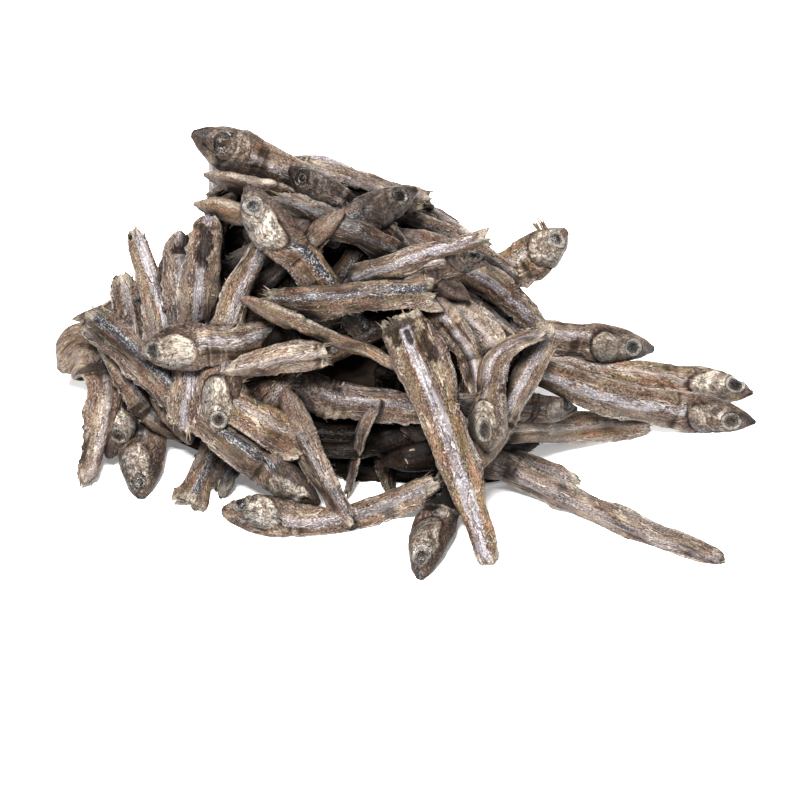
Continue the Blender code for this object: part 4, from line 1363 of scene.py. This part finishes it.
def grown(name, source, shape, material, onFaces):
    # instances of one shape on the source, on its faces or its points, made into a plain mesh
    tree = Tree(bpy.data.node_groups.new(name, "GeometryNodeTree"))
    tree.input("Geometry", "NodeSocketGeometry", to="OUTPUT")
    tree.input("Geometry", "NodeSocketGeometry")
    smallest, largest = bits["flakeWidth"]
    inputs = {
        "Shape": ("NodeSocketObject", shape),
        "Material": ("NodeSocketMaterial", material),
        "Density": ("NodeSocketFloat", bits["flakesPerSquareMetre"]),
        "Seed": ("NodeSocketInt", bits["seed"]),
        "Smallest": ("NodeSocketFloat", smallest),
        "Largest": ("NodeSocketFloat", largest),
    }
    identifiers = {key: tree.input(key, kind) for key, (kind, _) in inputs.items()}
    sockets = tree.node("NodeGroupInput").socket.node.outputs
    given = {key: Wire(tree, sockets[key]) for key in ("Geometry", *inputs)}
    shapeIn = tree.node("GeometryNodeObjectInfo", None, {"Object": given["Shape"]}, out="Geometry")
    if onFaces:
        spread = {"Mesh": given["Geometry"], "Density": given["Density"], "Seed": given["Seed"]}
        scattered = tree.node("GeometryNodeDistributePointsOnFaces", None, spread, out="Points")
        facing = Wire(tree, scattered.socket.node.outputs["Rotation"])
        turns = {0: (-0.45, -0.45, 0.0), 1: (0.45, 0.45, 2 * math.pi), "Seed": given["Seed"]}
        spin = tree.node("FunctionNodeRandomValue", {"data_type": "FLOAT_VECTOR"}, turns)
        spin = tree.node("FunctionNodeEulerToRotation", None, {0: spin})
        turned = tree.node("FunctionNodeRotateRotation", {"rotation_space": "LOCAL"}, {0: facing, 1: spin})
        widths = {2: given["Smallest"], 3: given["Largest"], "Seed": given["Seed"]}
        size = tree.node("FunctionNodeRandomValue", {"data_type": "FLOAT"}, widths, out=1)
    else:
        scattered = given["Geometry"]
        kind, vectors = "GeometryNodeInputNamedAttribute", {"data_type": "FLOAT_VECTOR"}
        lean, size = [tree.node(kind, vectors, {"Name": key}) for key in ("lean", "size")]
        turned = tree.node("FunctionNodeAlignRotationToVector", {"axis": "Z"}, {"Vector": lean})
    placed = tree.node("GeometryNodeInstanceOnPoints", None, {
        "Points": scattered, "Instance": shapeIn, "Rotation": turned, "Scale": size})
    solid = tree.node("GeometryNodeRealizeInstances", None, {0: placed})
    coated = tree.node("GeometryNodeSetMaterial", None, {"Geometry": solid, "Material": given["Material"]})
    tree.node("NodeGroupOutput", None, {"Geometry": coated})
    modifier = source.modifiers.new(name, "NODES")
    modifier.node_group = tree.nodeTree
    for key, (_, value) in inputs.items():
        modifier[identifiers[key]] = value
    ready = source.evaluated_get(bpy.context.evaluated_depsgraph_get())
    mesh = bpy.data.meshes.new_from_object(ready)
    mesh.name = name
    if not mesh.materials:
        mesh.materials.append(material)
    piece = placedObject(name, mesh)
    for thing in (source, shape):
        bpy.data.objects.remove(thing)
    print(name, len(mesh.polygons), "faces")
    return piece


def looseBits(parts):
    # flakes on the sides of the fish that look up, and fibres at their ends and edges
    loose = looseSkin()
    shifted = [part["points"] + heapShift for part in parts]
    upFaces, start = [], 0
    for part, corners in zip(parts, shifted):
        quads = np.array([face for face in part["faces"] if len(face) == 4])
        a, b, c, d = [corners[quads[:, k]] for k in range(4)]
        cross = np.cross(c - a, d - b)
        upFaces += (quads[unit(cross)[:, 2] > bits["steepest"]] + start).tolist()
        start += len(corners)
    tops = shapeOf("tops", np.vstack(shifted).tolist(), upFaces)
    flakes = grown("skinFlakes", tops, flakeShape(), loose, True)
    rows = np.vstack([part["bristles"] for part in parts])
    roots = shapeOf("roots", (rows[:, :3] + heapShift).tolist(), [])
    for key, values in (("lean", rows[:, 3:6]), ("size", rows[:, [7, 7, 6]])):
        attribute = roots.data.attributes.new(key, "FLOAT_VECTOR", "POINT")
        attribute.data.foreach_set("vector", values.astype(np.float32).ravel())
    return [flakes, grown("frayedFibres", roots, fibreShape(), loose, False)]


# What is left of the mound between the lowest fish, near-black as painted shade in the gaps between fish
heart = {
    "shrink": 0.95,
    "rings": 60,
    "around": 140,
    "lumps": 2.2 * mm,
    "stops": [(0.35, colour(18, 14, 11)), (0.6, colour(44, 34, 27)), (0.8, colour(70, 54, 42))],
    "bump": 0.8 * mm,
}


def darkHeart():
    material, tree = newMaterial("heapHeart")
    # the near-black strands are painted shade
    strands = tree.noise(tree.node("ShaderNodeTexCoord", out=3), (90.0, 260.0, 260.0), 5.0, 0.6)
    tree.surface({
        "Base Color": tree.ramp(strands, heart["stops"]), "Roughness": 0.8, "Specular IOR Level": 0.05,
        "Normal": tree.bump(strands, heart["bump"])})
    return material


def heapHeart(material):
    # matted bits with a flat underside
    rings, around, shrink = heart["rings"], heart["around"], heart["shrink"]
    turn = 2 * math.pi * np.arange(around) / around
    rows = []
    for k in range(rings):
        share = math.sin(math.pi / 2 * (1 - k / rings))
        radius = share * shrink
        strands = patchy(np.full(around, k / 4.0), turn / (2 * math.pi) * 40, 71, 40)
        lumps = patchy(np.full(around, k / 9.0), turn / (2 * math.pi) * 16, 72, 16)
        bump = heart["lumps"] * (0.5 * strands + 0.5 * lumps) * (0.3 if k == 0 else 1)
        x = mound["centre"][0] + (mound["halfWidth"] * radius + bump) * np.cos(turn)
        y = mound["centre"][1] + (mound["halfDepth"] * radius + bump) * np.sin(turn)
        z = mound["height"] * shrink * (1 - share ** 2) + (0.5 if k else 0) * bump
        rows.append(np.column_stack([x, y, np.maximum(z, resting["tableGap"])]))
    ends = [(*mound["centre"], height) for height in (resting["tableGap"], mound["height"] * shrink)]
    whole = dict(points=np.vstack(rows + [ends]), faces=tubeFaces(rings, around))
    return joinedPiece("heapHeart", [whole], material)


# The floor, and the lights with their power in watts and place in metres
stage = {
    "floorSize": 12.0,
    "floor": colour(250, 249, 248),
    "floorGlow": 0.2,
    "worldStrength": 0.13,
    "lights": {
        "key": (192.0, (-0.35, -0.7, 2.0)),
        "fill": (7.0, (1.6, -1.2, 1.1)),
        "back": (40.0, (0.5, 1.7, 1.3)),
    },
    "lightSize": 0.8,
    "cameraDistance": 5.0,
    "sensor": 36.0,
}


def floorAndLight():
    material, tree = newMaterial("paleFloor")
    tree.surface({
        "Base Color": stage["floor"], "Roughness": 0.8, "Emission Color": stage["floor"],
        "Emission Strength": stage["floorGlow"]})
    half = stage["floorSize"] / 2
    corners = [(-half, -half, 0), (half, -half, 0), (half, half, 0), (-half, half, 0)]
    floor = shapeOf("floor", corners, [(0, 1, 2, 3)], material)
    world = bpy.data.worlds.new("softRoom")
    bpy.context.scene.world = world
    world.use_nodes = True
    background = world.node_tree.nodes["Background"]
    background.inputs["Color"].default_value = (1, 1, 1, 1)
    background.inputs["Strength"].default_value = stage["worldStrength"]
    for name, (power, place) in stage["lights"].items():
        light = bpy.data.lights.new(name, "AREA")
        light.energy = power
        light.size = stage["lightSize"]
        lamp = placedObject(name, light)
        lamp.location = place
        lamp.rotation_euler = lamp.location.to_track_quat("Z", "Y").to_euler()
    bpy.context.scene.view_settings.view_transform = "Standard"


def photoCamera():
    camera = placedObject("camera", bpy.data.cameras.new("camera"))
    turn = Matrix([list(axis) for axis in frontSide.axes]).transposed().to_4x4()
    middle = frontSide.middle + heapShift
    camera.matrix_world = Matrix.Translation(middle + frontSide.axes[2] * stage["cameraDistance"]) @ turn
    camera.data.sensor_width = stage["sensor"]
    camera.data.lens = stage["sensor"] * stage["cameraDistance"] / (photo["width"] * pixel)
    camera.data.clip_end = 4 * stage["cameraDistance"]
    bpy.context.scene.camera = camera


# The fish with a head are shared out over the pieces by height. The ones that the photograph doesn't show
# take their finishes, faces and eye rings by chance. Each fish has a number of its own for its noise.
sorting = {
    "byHeight": ("lowAnchovies", "middleAnchovies", "upperAnchovies", "topAnchovies"),
    "farFinishes": ("plain", "grey", "silver", "tan", "pale", "lilac", "inky", "golden", "cream"),
    # the fish underneath take dark finishes as painted shade
    "underFinishes": ("shaded", "dark", "dark", "grey"),
    "faces": 0.75,
    "rings": (0.1, 0.6, 1.0),
    "seed": 21,
    "firstNumbers": {"cut": 80, "far": 163, "under": 300},
}


def sortedParts(shown, far, under):
    # the meshes of each piece's fish
    heapTree = cagesTree(shown + far + under)
    groups = {name: [] for name in ("innerAnchovies", *sorting["byHeight"])}
    headed = [one for one in shown if one["head"]]
    for index, one in enumerate(headed):
        if one["finish"] == "shaded":
            groups["innerAnchovies"].append(fishMesh(one, index, heapTree, "inner"))
        else:
            name = sorting["byHeight"][index * len(sorting["byHeight"]) // len(headed)]
            groups[name].append(fishMesh(one, index, heapTree, "shown"))
    draw = random.Random(sorting["seed"])
    for group, styles in ((far, sorting["farFinishes"]), (under, sorting["underFinishes"])):
        for one in group:
            one["finish"] = draw.choice(styles)
            one["face"] = float(draw.random() < sorting["faces"])
            one["ring"] = draw.choice(sorting["rings"])
    cut = [one for one in shown if not one["head"]]
    for key, grid, lies in (("cut", "shown", cut), ("far", "far", far), ("under", "under", under)):
        first = sorting["firstNumbers"][key]
        groups[key + "Anchovies"] = [fishMesh(one, first + k, heapTree, grid) for k, one in enumerate(lies)]
    return groups


heapShift = np.array(frame["record"]["mounts"][0]["pos_m"]) - np.array((*mound["centre"], 0.0))
groups = sortedParts(*settledHeap())
skinMaterial = fishSkin("driedFish", skin["specular"])
shadedMaterial = fishSkin("shadedFish", skin["shadedSpecular"])
pieces = []
for name, parts in groups.items():
    # the fish in painted shade take the copy of the skin with almost no specular
    shaded = name in ("innerAnchovies", "underAnchovies")
    pieces.append(joinedPiece(name, parts, shadedMaterial if shaded else skinMaterial))
pieces.append(heapHeart(darkHeart()))
pieces += looseBits([part for name, parts in groups.items() if name != "underAnchovies" for part in parts])

for piece in pieces:
    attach(piece, "root")
    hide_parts("anchovy_heap")
floorAndLight()
photoCamera()
print("floor, lights and camera done")
